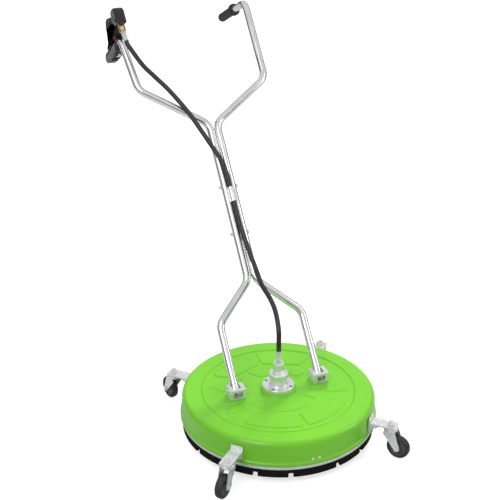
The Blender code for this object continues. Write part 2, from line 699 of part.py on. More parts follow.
def cross_bolt(handle, name, along):
    """A bolt through both tubes, its head on the right and its nut on the left."""
    outer = 2 * TUBE_RADIUS + TUBE_GAP + GAP
    outline = [(0, outer + BOLT_HEAD_HEIGHT), (BOLT_HEAD, outer + BOLT_HEAD_HEIGHT),
               (BOLT_HEAD, outer), (BOLT_RADIUS, outer), (BOLT_RADIUS, -outer),
               (BOLT_HEAD, -outer), (BOLT_HEAD, -outer - BOLT_HEAD_HEIGHT),
               (BOLT_RADIUS, -outer - BOLT_HEAD_HEIGHT),
               (BOLT_RADIUS, -outer - BOLT_HEAD_HEIGHT - 0.004),
               (0, -outer - BOLT_HEAD_HEIGHT - 0.004)]
    turned(name, outline, "zinc_plate", handle, 12, (0, along, 0), (0, math.radians(90), 0))


def hose_clip(handle):
    """A bent steel saddle over the hose, with a foot on each tube."""
    inner = HOSE_RADIUS + HOSE_PLAY
    outer = inner + CLIP_SHEET
    foot = TUBE_RADIUS + GAP
    foot_top = foot + CLIP_SHEET
    reach = TUBE_RADIUS + 0.003
    outline = [(reach, foot), (reach, foot_top), (outer, foot_top)]
    outline += arc((0, HOSE_PROUD), outer, 0, 180, 10)
    outline += [(-outer, foot_top), (-reach, foot_top), (-reach, foot), (-inner, foot)]
    outline += arc((0, HOSE_PROUD), inner, 180, 0, 10)
    outline += [(inner, foot)]
    half = CLIP_LENGTH / 2
    mesh = plate_mesh("hose_clip", [outline], CLIP_ALONG - half, CLIP_ALONG + half)
    for vert in mesh.vertices:
        along, x, proud = vert.co
        vert.co = (x, along, proud)
    mesh.flip_normals()
    add("hose_clip", mesh, "zinc_plate", handle, smooth=False)


def right_grip(handle):
    """The rubber grip, with its flange, pushed over the right tube's end."""
    start = GRIP_START
    end = RIGHT_STRAIGHT + GRIP_CLOSED_END + GAP
    hold = empty("grip_axis", handle, (ARM_X, RIGHT_END_ALONG, 0),
                 (math.radians(-90) - RIGHT_GRIP_DROP, 0, 0))
    bore = TUBE_RADIUS + GAP
    outline = [(0, end), (GRIP_RADIUS - 0.003, end), (GRIP_RADIUS, end - 0.003),
               (GRIP_RADIUS, start + GRIP_FLANGE_WIDTH), (GRIP_FLANGE, start + GRIP_FLANGE_WIDTH),
               (GRIP_FLANGE, start), (bore, start), (bore, RIGHT_STRAIGHT + GAP),
               (0, RIGHT_STRAIGHT + GAP)]
    turned("right_grip", outline, "grip_rubber", hold, 20)


# ---- gun ----------------------------------------------------------------------------------------
def gun(handle):
    frame = empty("gun_frame", handle, (-LEFT_END_X, LEFT_END_ALONG, 0), (-LEFT_GRIP_DROP, 0, 0))
    head = [(-0.052, VALVE_FOOT), (-0.052, 0.060), (-0.036, 0.098), (-0.026, 0.107), (-0.012, 0.110),
            (0.010, 0.111), (0.021, 0.106), (0.025, 0.093)]
    rear = [(0.040, 0.093), (0.098, 0.104), (0.116, 0.101), (0.125, 0.088), (0.129, 0.045),
            (0.133, 0.018), (0.142, 0.005)]
    bar = [(0.188, 0.004), (0.203, -0.009), (0.200, -0.026), (0.186, GUN_BAR_FOOT),
           (0.070, GUN_BAR_FOOT), (0.030, -0.026), (SOCKET_START, -0.016)]
    front = [(SOCKET_START, 0.018), (-0.006, 0.032), (-0.012, VALVE_FOOT)]
    body = head + rear + bar + front
    gap = [(0.008, 0.030), (0.011, 0.062), (0.034, 0.070), (0.104, 0.070), (0.113, 0.060),
           (0.113, 0.020), (0.106, 0.012), (0.030, 0.012)]
    lean = Vector((math.sin(OUTLET_SPLAY), -math.sin(OUTLET_LEAN), -math.cos(OUTLET_LEAN)))
    lean.normalize()
    outlet = Vector((0, OUTLET_BACK, VALVE_FOOT))
    top = outlet - lean * (VALVE_TOP - VALVE_FOOT)
    mouth = outlet + lean * OUTLET_LENGTH
    pivot_back, pivot_up = TRIGGER_PIVOT
    for side, name in ((-1, "gun_shell_left"), (1, "gun_shell_right")):
        low = GAP / 2 if side > 0 else -GUN_HALF
        high = GUN_HALF if side > 0 else -GAP / 2
        shell = add(name, plate_mesh(name, [body, gap], low, high), "gun_plastic", frame)
        cut(shell, rod_mesh("valve_room", VALVE_RADIUS + GAP, outlet + lean * 0.01,
                            top - lean * (PLUNGER_PROUD + 0.0015)))
        cut(shell, rod_mesh("tube_room", TUBE_RADIUS + GAP, (0, 0, 0), (0, LEFT_STRAIGHT + GAP, 0)))
        room = TRIGGER_HALF + 0.0006
        cut(shell, box_mesh("nose_room", (-room, -0.030, 0.052), (room, 0.020, 0.1015)))
        cut(shell, box_mesh("lever_room", (-room, 0.0195, 0.052), (room, 0.119, 0.084)))
        cut(shell, rod_mesh("trunnion_hole", TRUNNION_RADIUS + GAP, (-0.0125, pivot_back, pivot_up),
                            (0.0125, pivot_back, pivot_up), 16))
        cut(shell, rod_mesh("inlet_hole", INLET_RADIUS * 0.8 + GAP, (0, INLET_BACK, GUN_BAR_FOOT - 0.01),
                            (0, INLET_BACK, -TUBE_RADIUS - 0.003), 16))
        edge_cut(shell, side)

    valve = add("valve_body", rod_mesh("valve_body", VALVE_RADIUS, outlet - lean * GAP,
                                       top, 24), "brass", frame)
    join(valve, rod_mesh("outlet_hex", OUTLET_FLATS / math.sqrt(3), mouth,
                         outlet + lean * 0.005, 6))
    join(valve, rod_mesh("outlet_neck", VALVE_RADIUS - 0.002, outlet + lean * 0.007,
                         outlet - lean * 0.004, 16))
    cut(valve, rod_mesh("valve_bore", OUTLET_BORE, mouth + lean * 0.01, top - lean * 0.01, 12))
    add("valve_plunger", rod_mesh("valve_plunger", PLUNGER_RADIUS, top - lean * PLUNGER_PROUD,
                                  top + lean * (PLUNGER_LENGTH - PLUNGER_PROUD), 12), "polished_steel", frame)

    hinge = empty("trigger_hinge", frame, (0, pivot_back, pivot_up))
    lever = [(-0.031, 0.0125), (-0.020, 0.0150), (0.000, 0.010), (0.008, 0.004), (0.014, -0.018),
             (0.030, -0.036), (0.080, -0.036), (0.097, -0.030), (0.099, -0.034), (0.092, -0.046),
             (0.078, -0.0495), (0.026, -0.0495), (0.008, -0.036), (-0.003, -0.014), (-0.008, 0.002),
             (-0.030, 0.0085)]
    trigger = add("trigger", plate_mesh("trigger", [lever], -TRIGGER_HALF, TRIGGER_HALF),
                  "gun_plastic", hinge)
    join(trigger, rod_mesh("trunnion", TRUNNION_RADIUS, (-0.0120, 0, 0), (0.0120, 0, 0), 16))

    latch_hinge = empty("latch_hinge", frame, (0, LATCH_PIVOT[0], LATCH_PIVOT[1]))
    blade = [(-0.022, -0.0015), (-0.001, -0.0005), (0.004, -0.0015), (0.005, -0.0050),
             (0.002, -0.0075), (-0.006, -0.0065), (-0.021, -0.0050)]
    add("safety_latch", plate_mesh("safety_latch", [blade], -LATCH_HALF, LATCH_HALF),
        "latch_red", latch_hinge)

    inlet_top = -TUBE_RADIUS - 0.003 - GAP
    inlet = empty("inlet_axis", frame, (0, INLET_BACK, 0))
    outline = [(OUTLET_BORE, inlet_top), (INLET_RADIUS * 0.8, inlet_top),
               (INLET_RADIUS * 0.8, GUN_BAR_FOOT - GAP), (INLET_RADIUS, GUN_BAR_FOOT - GAP),
               (INLET_RADIUS, GUN_BAR_FOOT - INLET_LENGTH), (OUTLET_BORE, GUN_BAR_FOOT - INLET_LENGTH)]
    turned("supply_inlet", outline, "brass", inlet, 24)

    start = mouth + lean * GAP
    axis = empty("gun_ferrule_axis", frame, start)
    axis.rotation_euler = lean.to_track_quat("Z", "Y").to_euler()
    turned("gun_ferrule", ferrule_outline(), "zinc_plate", axis, 16)
    return frame, start + lean * (FERRULE_LENGTH + GAP), lean


def edge_cut(shell, side):
    """Rounds the outer edges of one half shell, and leaves its flat joint face alone."""
    edge = shell.modifiers.new("edges", "BEVEL")
    edge.width = GUN_ROUND
    edge.segments = 2
    edge.limit_method = "WEIGHT"
    mesh = shell.data
    outer = side * GUN_HALF
    weights = mesh.attributes.new("bevel_weight_edge", "FLOAT", "EDGE")
    for line in mesh.edges:
        a, b = (mesh.vertices[k].co.x for k in line.vertices)
        weights.data[line.index].value = float(abs(a - outer) < 1e-5 and abs(b - outer) < 1e-5)
    order = list(shell.modifiers).index(edge)
    shell.modifiers.move(order, 0)


# ---- hose ---------------------------------------------------------------------------------------
def hose(machine, handle, frame, hub_end, gun_end, gun_out):
    """The hose from the hub's ferrule to the gun's, through the clip on the handle."""
    bpy.context.view_layer.update()
    into = machine.matrix_world.inverted()
    on_handle = into @ handle.matrix_world
    on_gun = into @ frame.matrix_world
    along_handle = [(0.011, 0.305, 0.050), (0.012, 0.350, 0.034), (0.010, 0.400, 0.0235),
                    (0.006, 0.450, 0.0208), (0.001, 0.520, HOSE_PROUD), (0.0, 0.600, HOSE_PROUD),
                    (0.0, 0.660, HOSE_PROUD), (-0.001, 0.700, 0.0190), (-0.010, 0.750, 0.0222),
                    (-0.030, 0.805, 0.0225), (-0.052, 0.862, 0.0225), (-0.082, 0.935, 0.0225),
                    (-0.127, 1.018, 0.0225), (-0.170, 1.080, 0.0235), (-0.201, 1.122, 0.0290)]
    lead = 1.5 * HOSE_RADIUS
    out = on_gun.to_3x3() @ gun_out
    end = on_gun @ gun_end
    route = [hub_end + Vector((0, 0, lead)), Vector((0.007, 0.020, 0.335)),
             Vector((0.014, 0.064, 0.374)), Vector((0.015, 0.112, 0.397))]
    route += [on_handle @ Vector(p) for p in along_handle] + [end + out * lead]
    points = [hub_end] + smooth_route(route, 3 * HOSE_RADIUS) + [end]
    mesh = pipe_mesh("hose", points, HOSE_RADIUS, 2, True)
    add("hose", mesh, "hose_rubber", machine)


def centre_on_floor(machine):
    """Moves the machine so that its box's bottom centre is the origin."""
    bpy.context.view_layer.update()
    graph = bpy.context.evaluated_depsgraph_get()
    corners = []
    for part in parts.objects:
        if part.type == "MESH":
            seen = part.evaluated_get(graph)
            mesh = seen.to_mesh()
            corners += [seen.matrix_world @ vert.co for vert in mesh.vertices]
            seen.to_mesh_clear()
    low = [min(c[k] for c in corners) for k in range(3)]
    high = [max(c[k] for c in corners) for k in range(3)]
    machine.location = (-(low[0] + high[0]) / 2, -(low[1] + high[1]) / 2, -low[2])
    bpy.context.view_layer.update()


def build():
    machine = empty("machine")
    deck(machine)
    hub_end = hub(machine)
    for spot, azimuth, trail in CASTER_SPOTS:
        caster(machine, spot, azimuth, trail)
    clamp(machine, -1, "left")
    clamp(machine, 1, "right")
    handle = empty("handle", machine, (0, PIVOT_Y, DECK_TOP + PIVOT_RISE), (SLOPE, 0, 0))
    bolts = (LOWER_BOLT_ALONG, UPPER_BOLT_ALONG)
    handle_tube(handle, -1, "handle_tube_left", LEFT_END_X, LEFT_END_ALONG, LEFT_GRIP_DROP,
                LEFT_STRAIGHT, bolts)
    handle_tube(handle, 1, "handle_tube_right", ARM_X, RIGHT_END_ALONG, RIGHT_GRIP_DROP,
                RIGHT_STRAIGHT, bolts)
    cross_bolt(handle, "cross_bolt_lower", LOWER_BOLT_ALONG)
    cross_bolt(handle, "cross_bolt_upper", UPPER_BOLT_ALONG)
    hose_clip(handle)
    right_grip(handle)
    frame, gun_end, gun_out = gun(handle)
    hose(machine, handle, frame, hub_end, gun_end, gun_out)
    centre_on_floor(machine)


build()
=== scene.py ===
"""Surface cleaner: the visible surfaces, finishes, floor, lights and camera round the CAD model."""
import json
import math

import bpy
import numpy as np
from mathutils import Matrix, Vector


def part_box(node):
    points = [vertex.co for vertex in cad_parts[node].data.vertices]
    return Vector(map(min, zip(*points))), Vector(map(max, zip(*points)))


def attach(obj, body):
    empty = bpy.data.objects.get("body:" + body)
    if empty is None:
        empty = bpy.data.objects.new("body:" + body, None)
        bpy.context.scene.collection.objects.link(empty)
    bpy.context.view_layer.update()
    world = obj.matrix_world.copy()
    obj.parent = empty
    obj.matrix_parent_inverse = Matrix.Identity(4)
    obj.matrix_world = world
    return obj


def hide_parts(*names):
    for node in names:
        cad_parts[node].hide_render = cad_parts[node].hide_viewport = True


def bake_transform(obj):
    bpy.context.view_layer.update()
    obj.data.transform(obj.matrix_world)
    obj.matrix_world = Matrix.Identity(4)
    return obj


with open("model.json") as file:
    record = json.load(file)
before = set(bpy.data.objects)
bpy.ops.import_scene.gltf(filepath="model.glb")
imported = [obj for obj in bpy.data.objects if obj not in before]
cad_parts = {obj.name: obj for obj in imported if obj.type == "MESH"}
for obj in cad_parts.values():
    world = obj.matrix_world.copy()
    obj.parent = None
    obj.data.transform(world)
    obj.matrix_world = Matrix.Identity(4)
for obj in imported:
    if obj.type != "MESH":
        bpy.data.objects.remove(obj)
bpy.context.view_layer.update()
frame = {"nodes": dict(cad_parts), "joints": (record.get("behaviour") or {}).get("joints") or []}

bl_info = {
    "name": "Surface cleaner",
    "version": (1, 0, 0),
    "blender": (4, 5, 0),
    "location": "3D View > Sidebar > Cleaner",
    "description": "Builds the looks of a walk-behind surface cleaner round its CAD model",
    "category": "Object",
}

SPOTS = ("front_right", "front_left", "rear_left", "rear_right")


def corners_of(node):
    return tuple(np.array(corner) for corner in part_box(node))


def middle(node):
    """The middle of a node's box."""
    return sum(corners_of(node)) / 2


def low_of(node, axis):
    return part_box(node)[0][axis]


def high_of(node, axis):
    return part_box(node)[1][axis]


# ---- places read from the frame ----
JOINTS = {joint["name"]: joint for joint in frame["joints"]}
DECK_AXIS = np.array([middle("hub_housing")[0], middle("hub_housing")[1], 0.0])
TILT = np.array(JOINTS["handle_tilt"]["pos_m"])
TUBE_SLOPE = math.radians(48.1)     # the handle's plane at rest
GAP = 0.0003                        # between pieces that touch
SHEET = 0.003                       # the deck's plate
TUBE_WALL = 0.0016
FLANGE_THICKNESS = 0.0125
FERRULE_RADIUS = 0.00875
FERRULE_LENGTH = 0.037
OUTLET_LENGTH = 0.026               # how far the gun's outlet stands out of its head
HEAD_FOOT = 0.048                   # underside of the gun's head, over its tube's middle line
HOSE_HELD = (0.011, 0.305, 0.050)   # where the hose starts to follow the handle


# ---- sizes and colours that a user would change ----
def metres(name, default, description):
    return bpy.props.FloatProperty(name=name, default=default, description=description, min=0.0,
                                   max=5.0, precision=4, unit="LENGTH")


def colour(name, default, description):
    return bpy.props.FloatVectorProperty(name=name, default=default, description=description, size=3,
                                         min=0.0, max=1.0, subtype="COLOR")


class DeckLook(bpy.types.PropertyGroup):
    radius: metres("Radius", 0.3045, "Outside of the deck's wall at its foot")
    top: metres("Top", 0.137, "Height of the deck's top plate")
    shoulder: metres("Shoulder", 0.018, "Rounding between top and wall")
    foot: metres("Foot", 0.0605, "Lower edge of the deck's lip")
    lip: metres("Lip", 0.004, "How far the lip stands out from the wall")
    rise: metres("Pressing height", 0.0030, "How far the pressed panels stand up")
    paint: colour("Paint", (0.185, 0.640, 0.010), "Colour of the powder coat")


class HandleLook(bpy.types.PropertyGroup):
    tube: metres("Tube radius", 0.0127, "Outside radius of the handle's tubes")
    bend: metres("Bend radius", 0.055, "Middle radius of the bends in the handle's plane")
    hose: metres("Hose radius", 0.0078, "Outside radius of the hose")
    steel: colour("Steel", (0.86, 0.86, 0.87), "Colour of the polished tubes")


class WheelLook(bpy.types.PropertyGroup):
    radius: metres("Wheel radius", 0.0365, "Outside radius of a caster's tyre")
    width: metres("Wheel width", 0.025, "Width of a caster's tyre")


class StageLook(bpy.types.PropertyGroup):
    distance: metres("Camera distance", 3.18, "Camera to the point it looks at")
    azimuth: bpy.props.FloatProperty(name="Azimuth", default=math.radians(-20.63), subtype="ANGLE",
                                     description="Camera's turn round the object")
    elevation: bpy.props.FloatProperty(name="Elevation", default=math.radians(24.65), subtype="ANGLE",
                                       description="Camera's height angle")
    lens: bpy.props.FloatProperty(name="Lens", default=77.47, description="Focal length",
                                  unit="CAMERA")
    floor: colour("Floor", (0.60, 0.60, 0.60), "Colour that the floor throws back")


# ---- mesh helpers ----
def to_object(name, points, faces, uv=None, sharp=35.0):
    """An object from vertices and faces that are turned outwards by the sign of their volume, with
    sharp edges over the given angle."""
    mesh = bpy.data.meshes.new(name)
    mesh.from_pydata(points.tolist(), [], faces)
    mesh.update()
    if uv is not None:
        layer = mesh.uv_layers.new(name="UVMap")
        corner = np.empty(len(mesh.loops), dtype=np.int32)
        mesh.loops.foreach_get("vertex_index", corner)
        layer.data.foreach_set("uv", uv[corner].astype(np.float32).ravel())
    mesh.calc_loop_triangles()
    triangles = np.empty(len(mesh.loop_triangles) * 3, dtype=np.int32)
    mesh.loop_triangles.foreach_get("vertices", triangles)
    a, b, c = (points[triangles[k::3]] for k in range(3))
    if np.einsum("ij,ij->i", a, np.cross(b, c)).sum() < 0:
        mesh.flip_normals()
    mesh.shade_smooth()
    mesh.set_sharp_from_angle(angle=math.radians(sharp))
    made = bpy.data.objects.new(name, mesh)
    bpy.context.scene.collection.objects.link(made)
    return made


def grid_faces(rows, columns, ring, loop):
    """Quads between neighbours of a grid; ring joins the last column to the first, loop the rows."""
    r = np.arange(rows if loop else rows - 1)[:, None]
    c = np.arange(columns if ring else columns - 1)[None, :]
    r_next = (r + 1) % rows
    c_next = (c + 1) % columns
    quads = np.stack([r * columns + c, r * columns + c_next, r_next * columns + c_next,
                      r_next * columns + c], axis=-1)
    return quads.reshape(-1, 4)


def surface(name, grid, loop=False, sharp=35.0):
    """A closed skin over a grid of rings: row i, column j is grid[i, j], and each end is closed
    by a fan to the mean of its ring, unless the rows loop."""
    rows, columns, _ = grid.shape
    points = grid.reshape(-1, 3)
    faces = grid_faces(rows, columns, True, loop).tolist()
    steps = np.linalg.norm(np.diff(grid.mean(axis=1), axis=0), axis=1)
    along = np.concatenate([[0.0], np.cumsum(steps)])
    uv = np.stack(np.broadcast_arrays(np.arange(columns)[None, :] / columns, along[:, None]),
                  axis=-1).reshape(-1, 2)
    for row in () if loop else (0, rows - 1):
        hub = len(points)
        points = np.vstack([points, grid[row].mean(axis=0)])
        uv = np.vstack([uv, uv[row * columns]])
        ring = row * columns + np.arange(columns)
        after = np.roll(ring, -1)
        pairs = (after, ring) if row == 0 else (ring, after)
        faces += [[int(p), int(q), hub] for p, q in zip(*pairs)]
    return to_object(name, points, faces, uv, sharp=sharp)


def rounded(outline, radius, steps=4, closed=False):
    """An outline with an arc of at most the given radius at each corner: the arc's points are
    corner + back*(1-s)^2*cut + ahead*s^2*cut for s from 0 to 1, with a support point outside each end."""
    outline = np.asarray(outline, dtype=float)
    count = len(outline)
    points = []
    for k in range(count):
        if not closed and k in (0, count - 1):
            points.append(outline[k])
            continue
        corner = outline[k]
        back = outline[k - 1] - corner
        ahead = outline[(k + 1) % count] - corner
        size_back, size_ahead = np.linalg.norm(back), np.linalg.norm(ahead)
        cut = min(radius, 0.45 * size_back, 0.45 * size_ahead)
        back, ahead = back / size_back, ahead / size_ahead
        points.append(corner + back * min(cut * 1.25, size_back * 0.49))
        for s in np.linspace(0, 1, steps + 1):
            points.append(corner + back * (1 - s) ** 2 * cut + ahead * s ** 2 * cut)
        points.append(corner + ahead * min(cut * 1.25, size_ahead * 0.49))
    return np.array(points)


def basis(axis):
    """Two unit directions across an axis, and the axis itself."""
    axis = np.asarray(axis, dtype=float)
    axis = axis / np.linalg.norm(axis)
    helper = np.array([1.0, 0, 0]) if abs(axis[0]) < 0.9 else np.array([0, 1.0, 0])
    across = np.cross(helper, axis)
    across /= np.linalg.norm(across)
    return across, np.cross(axis, across), axis


def turned(name, profile, centre, axis=(0, 0, 1), sides=64, fillet=0.0006, loop=True):
    """A turned piece: point = centre + axis*z + across*r*cos(t) + beside*r*sin(t) for each (r, z)
    of the profile and t round the circle."""
    profile = rounded(profile, fillet, closed=loop) if fillet else np.asarray(profile, float)
    across, beside, axis = basis(axis)
    t = np.linspace(0, 2 * np.pi, sides, endpoint=False)
    ring = np.cos(t)[:, None] * across + np.sin(t)[:, None] * beside
    grid = (np.asarray(centre)[None, None] + profile[:, 1, None, None] * axis
            + profile[:, 0, None, None] * ring[None])
    return surface(name, grid, loop=loop)


def along_bends(corners, radii, spacing=0.008):
    """A path through corners, with a true arc of the given radius at each inner corner:
    middle + cos(t)*first + sin(t)*side, and points on the straights at the given spacing."""
    corners = [np.asarray(c, float) for c in corners]
    path = [corners[0]]

    def run_to(goal):
        start = path[-1]
        count = max(1, int(np.linalg.norm(goal - start) / (4 * spacing)))
        path.extend(start + (goal - start) * k / count for k in range(1, count + 1))

    for k, radius in enumerate(radii, start=1):
        back = corners[k - 1] - corners[k]
        ahead = corners[k + 1] - corners[k]
        back, ahead = back / np.linalg.norm(back), ahead / np.linalg.norm(ahead)
        half = math.acos(float(back @ ahead)) / 2
        centre = corners[k] + (back + ahead) / np.linalg.norm(back + ahead) * radius / math.sin(half)
        first = corners[k] + back * radius / math.tan(half) - centre
        turn = math.pi - 2 * half
        side = -back * radius
        run_to(centre + first)
        steps = max(6, int(turn * radius / (spacing / 2)))
        path.extend(centre + first * math.cos(turn * s / steps) + side * math.sin(turn * s / steps)
                    for s in range(1, steps + 1))
    run_to(corners[-1])
    return np.array(path)


def smooth_curve(route, spacing):
    """Points at an even spacing on the Catmull-Rom curve through the route's points:
    (2b + (c-a)t + (2a-5b+4c-d)t^2 + (3b-a-3c+d)t^3) / 2."""
    route = np.asarray(route, float)
    ends = np.vstack([2 * route[0] - route[1], route, 2 * route[-1] - route[-2]])
    t = np.linspace(0, 1, 24, endpoint=False)[:, None]
    a, b, c, d = (ends[k:len(ends) - 3 + k][:, None] for k in range(4))
    dense = 0.5 * (2 * b + (c - a) * t + (2 * a - 5 * b + 4 * c - d) * t ** 2
                   + (3 * b - a - 3 * c + d) * t ** 3)
    dense = np.vstack([dense.reshape(-1, 3), route[-1]])
    far = np.concatenate([[0], np.cumsum(np.linalg.norm(np.diff(dense, axis=0), axis=1))])
    wanted = np.linspace(0, far[-1], max(3, int(far[-1] / spacing)))
    return np.stack([np.interp(wanted, far, dense[:, k]) for k in range(3)], axis=1)


def swept(name, path, radius, sides=32, bore=None):
    """A tube along a path: point = path + across*r*cos(t) + beside*r*sin(t), with the two
    directions carried along by the least turn. A bore closes its start as an open pipe's mouth."""
    radii = np.full(len(path), float(radius))
    tangents = np.gradient(path, axis=0)
    tangents /= np.linalg.norm(tangents, axis=1)[:, None]
    across = basis(tangents[0])[0]
    frames = []
    for tangent in tangents:
        across = across - tangent * (across @ tangent)
        across /= np.linalg.norm(across)
        frames.append(across)
    frames = np.array(frames)
    if bore:
        path = np.vstack([path[0] + tangents[0] * bore * 3, path[0], path[0], path])
        radii = np.concatenate([[bore, bore, radius - 0.0004], radii])
        frames = np.vstack([[frames[0]] * 3, frames])
        tangents = np.vstack([[tangents[0]] * 3, tangents])
    beside = np.cross(tangents, frames)
    t = np.linspace(0, 2 * np.pi, sides, endpoint=False)
    grid = (path[:, None] + radii[:, None, None] * (np.cos(t)[None, :, None] * frames[:, None]
                                                    + np.sin(t)[None, :, None] * beside[:, None]))
    return surface(name, grid)


def finish_piece(piece, body, made_of, nodes=()):
    """Gives a new piece its finish and body, and hides the CAD nodes it stands for.
    A piece that bends between two bodies has none."""
    piece.data.materials.append(made_of)
    if body:
        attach(piece, body)
    for node in nodes:
        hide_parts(node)
    return piece


# ---- material helpers ----
class Finish:
    """A node material: a shader with its constants, and patterns on the piece's own coordinates."""

    def __init__(self, name, rgb, roughness, metallic=0.0, **sockets):
        self.material = bpy.data.materials.new(name)
        self.material.use_nodes = True
        self.tree = self.material.node_tree
        self.shader = self.tree.nodes["Principled BSDF"]
        self.rgb = (*rgb, 1.0)
        self.set(self.shader, {"Base Color": self.rgb, "Roughness": roughness,
                               "Metallic": metallic, **sockets})
        self.roughness = roughness
        self.height = None

    @staticmethod
    def set(node, values):
        for key, value in values.items():
            node.inputs[key].default_value = value

    def node(self, kind, values=None, **options):
        made = self.tree.nodes.new(kind)
        for key, value in options.items():
            setattr(made, key, value)
        self.set(made, values or {})
        return made

    def link(self, output, target):
        self.tree.links.new(output, target)

    def place(self, scale=(1, 1, 1), location=(0, 0, 0), kind="Object"):
        coordinates = self.node("ShaderNodeTexCoord")
        mapping = self.node("ShaderNodeMapping", {"Scale": scale, "Location": location})
        self.link(coordinates.outputs[kind], mapping.inputs["Vector"])
        return mapping.outputs["Vector"]

    def noise(self, scale, detail=3.0, stretch=(1, 1, 1), kind="Object"):
        made = self.node("ShaderNodeTexNoise", {"Scale": scale, "Detail": detail})
        self.link(self.place(stretch, kind=kind), made.inputs["Vector"])
        return made.outputs["Fac"]

    def span(self, value, low, high, to_low, to_high):
        made = self.node("ShaderNodeMapRange", {"From Min": low, "From Max": high, "To Min": to_low,
                                                "To Max": to_high})
        self.link(value, made.inputs["Value"])
        return made.outputs["Result"]

    def colours(self, value, stops):
        ramp = self.node("ShaderNodeValToRGB")
        elements = ramp.color_ramp.elements
        while len(elements) < len(stops):
            elements.new(0.5)
        for element, (position, rgb) in zip(elements, stops):
            element.position = position
            element.color = (*rgb, 1.0)
        self.link(value, ramp.inputs["Fac"])
        self.link(ramp.outputs["Color"], self.shader.inputs["Base Color"])
        return ramp.outputs["Color"]

    def rough(self, value, low, high, spread):
        """Roughness that varies about its own value where the pattern is between low and high."""
        self.link(self.span(value, low, high, self.roughness - spread, self.roughness + spread),
                  self.shader.inputs["Roughness"])

    def bump(self, value, strength, distance):
        """Adds a pattern to the surface's relief, on top of any before it."""
        made = self.node("ShaderNodeBump", {"Strength": strength, "Distance": distance})
        self.link(value, made.inputs["Height"])
        if self.height is not None:
            self.link(self.height, made.inputs["Normal"])
        self.height = made.outputs["Normal"]
        self.link(self.height, self.shader.inputs["Normal"])

    def bands(self, scale, kind="Object", direction="Z", stretch=(1, 1, 1), location=(0, 0, 0),
              pattern="BANDS", distortion=0.0):
        made = self.node("ShaderNodeTexWave", {"Scale": scale, "Distortion": distortion},
                         wave_type=pattern, **{pattern.lower() + "_direction": direction})
        self.link(self.place(stretch, location, kind=kind), made.inputs["Vector"])
        return made.outputs["Fac"]


def shade(rgb, factor):
    return tuple(min(1.0, channel * factor) for channel in rgb)


def powder_coat(rgb):
    """Glossy coat with a fine orange peel, faint dust and small changes of tone."""
    made = Finish("powder_coat", rgb, 0.34, **{"Coat Weight": 0.30, "Coat Roughness": 0.10,
                                               "Specular IOR Level": 0.5})
    tone = made.noise(5.0, 4.0)
    made.colours(tone, [(0.30, shade(rgb, 0.93)), (0.55, rgb), (0.80, shade(rgb, 1.06))])
    made.rough(made.noise(60.0, 5.0), 0.35, 0.7, 0.05)
    made.bump(made.noise(900.0, 2.0), 0.10, 0.0004)
    made.bump(made.noise(14.0, 2.0), 0.06, 0.002)
    return made.material


def mottled(name, rgb, roughness, tone, shades, spread, metallic=0.0, shine=None, top=0.7,
            grain=None):
    """A finish whose colour goes through shades of one tone with a noise (scale, detail), and whose
    roughness varies with that noise or its own. A grain is (scale, detail, strength, distance)."""
    made = Finish(name, rgb, roughness, metallic)
    pattern = made.noise(*tone)
    made.colours(pattern, [(at, shade(rgb, by) if isinstance(by, float) else by)
                           for at, by in shades])
    made.rough(made.noise(*shine) if shine else pattern, 0.3, top, spread)
    if grain:
        made.bump(made.noise(*grain[:2]), *grain[2:])
    return made


def polished_tube(rgb):
    """Polished stainless with faint smudges."""
    return mottled("polished_tube", rgb, 0.16, (18.0, 6.0), [(0.25, 0.86), (0.60, 1.0), (0.85, 1.04)],
                   0.05, metallic=1.0, top=0.75).material


def zinc_plate():
    """Bright zinc plate: slightly spangled, with fine pitting."""
    return mottled("zinc_plate", (0.84, 0.85, 0.86), 0.27, (120.0, 6.0),
                   [(0.25, 0.90), (0.5, 1.0), (0.75, 1.08)], 0.06, metallic=0.62, shine=(45.0, 5.0),
                   grain=(700.0, 4.0, 0.03, 0.0002)).material


def machined_metal(name, pitch, centre=None):
    """Turned or milled aluminium: tool marks as rings round the hub or as straight passes."""
    made = mottled(name, (0.83, 0.84, 0.85), 0.26, (35.0, 5.0), [(0.25, 0.95), (0.55, 1.0), (0.8, 1.04)],
                   0.04, metallic=0.62, shine=(80.0, 4.0))
    if centre is not None:
        marks = made.bands(pitch, location=tuple(-centre), pattern="RINGS", direction="Z")
        made.bump(made.bands(pitch * 1.2, direction="Z", distortion=0.4), 0.05, 0.0002)
    else:
        marks = made.bands(pitch, direction="Y", distortion=0.6)
    made.bump(marks, 0.04, 0.0002)
    return made.material


def tyre_rubber():
    """Matte black rubber with scuffs and a fine grain."""
    return mottled("tyre_rubber", (0.028, 0.028, 0.030), 0.62, (70.0, 6.0),
                   [(0.35, (0.018, 0.018, 0.020)), (0.60, (0.034, 0.034, 0.036)),
                    (0.85, (0.085, 0.083, 0.080))], 0.12, top=0.8,
                   grain=(900.0, 3.0, 0.30, 0.0006)).material


def wheel_plastic():
    return mottled("wheel_plastic", (0.075, 0.075, 0.08), 0.42, (50.0, 4.0),
                   [(0.3, (0.055, 0.055, 0.06)), (0.7, (0.105, 0.105, 0.11))], 0.08,
                   grain=(600.0, 3.0, 0.15, 0.0004)).material


def bristles():
    """Black nylon: fine upright strands with lighter tips of worn ones."""
    made = Finish("bristles", (0.008, 0.008, 0.010), 0.62, **{"Specular IOR Level": 0.25})
    strand = made.noise(1.0, 4.0, stretch=(2600, 3, 1), kind="UV")
    made.colours(strand, [(0.30, (0.002, 0.002, 0.003)), (0.55, (0.006, 0.006, 0.008)),
                          (0.80, (0.018, 0.018, 0.021))])
    made.bump(strand, 0.8, 0.0012)
    made.rough(made.noise(40.0, 3.0), 0.3, 0.7, 0.12)
    return made.material


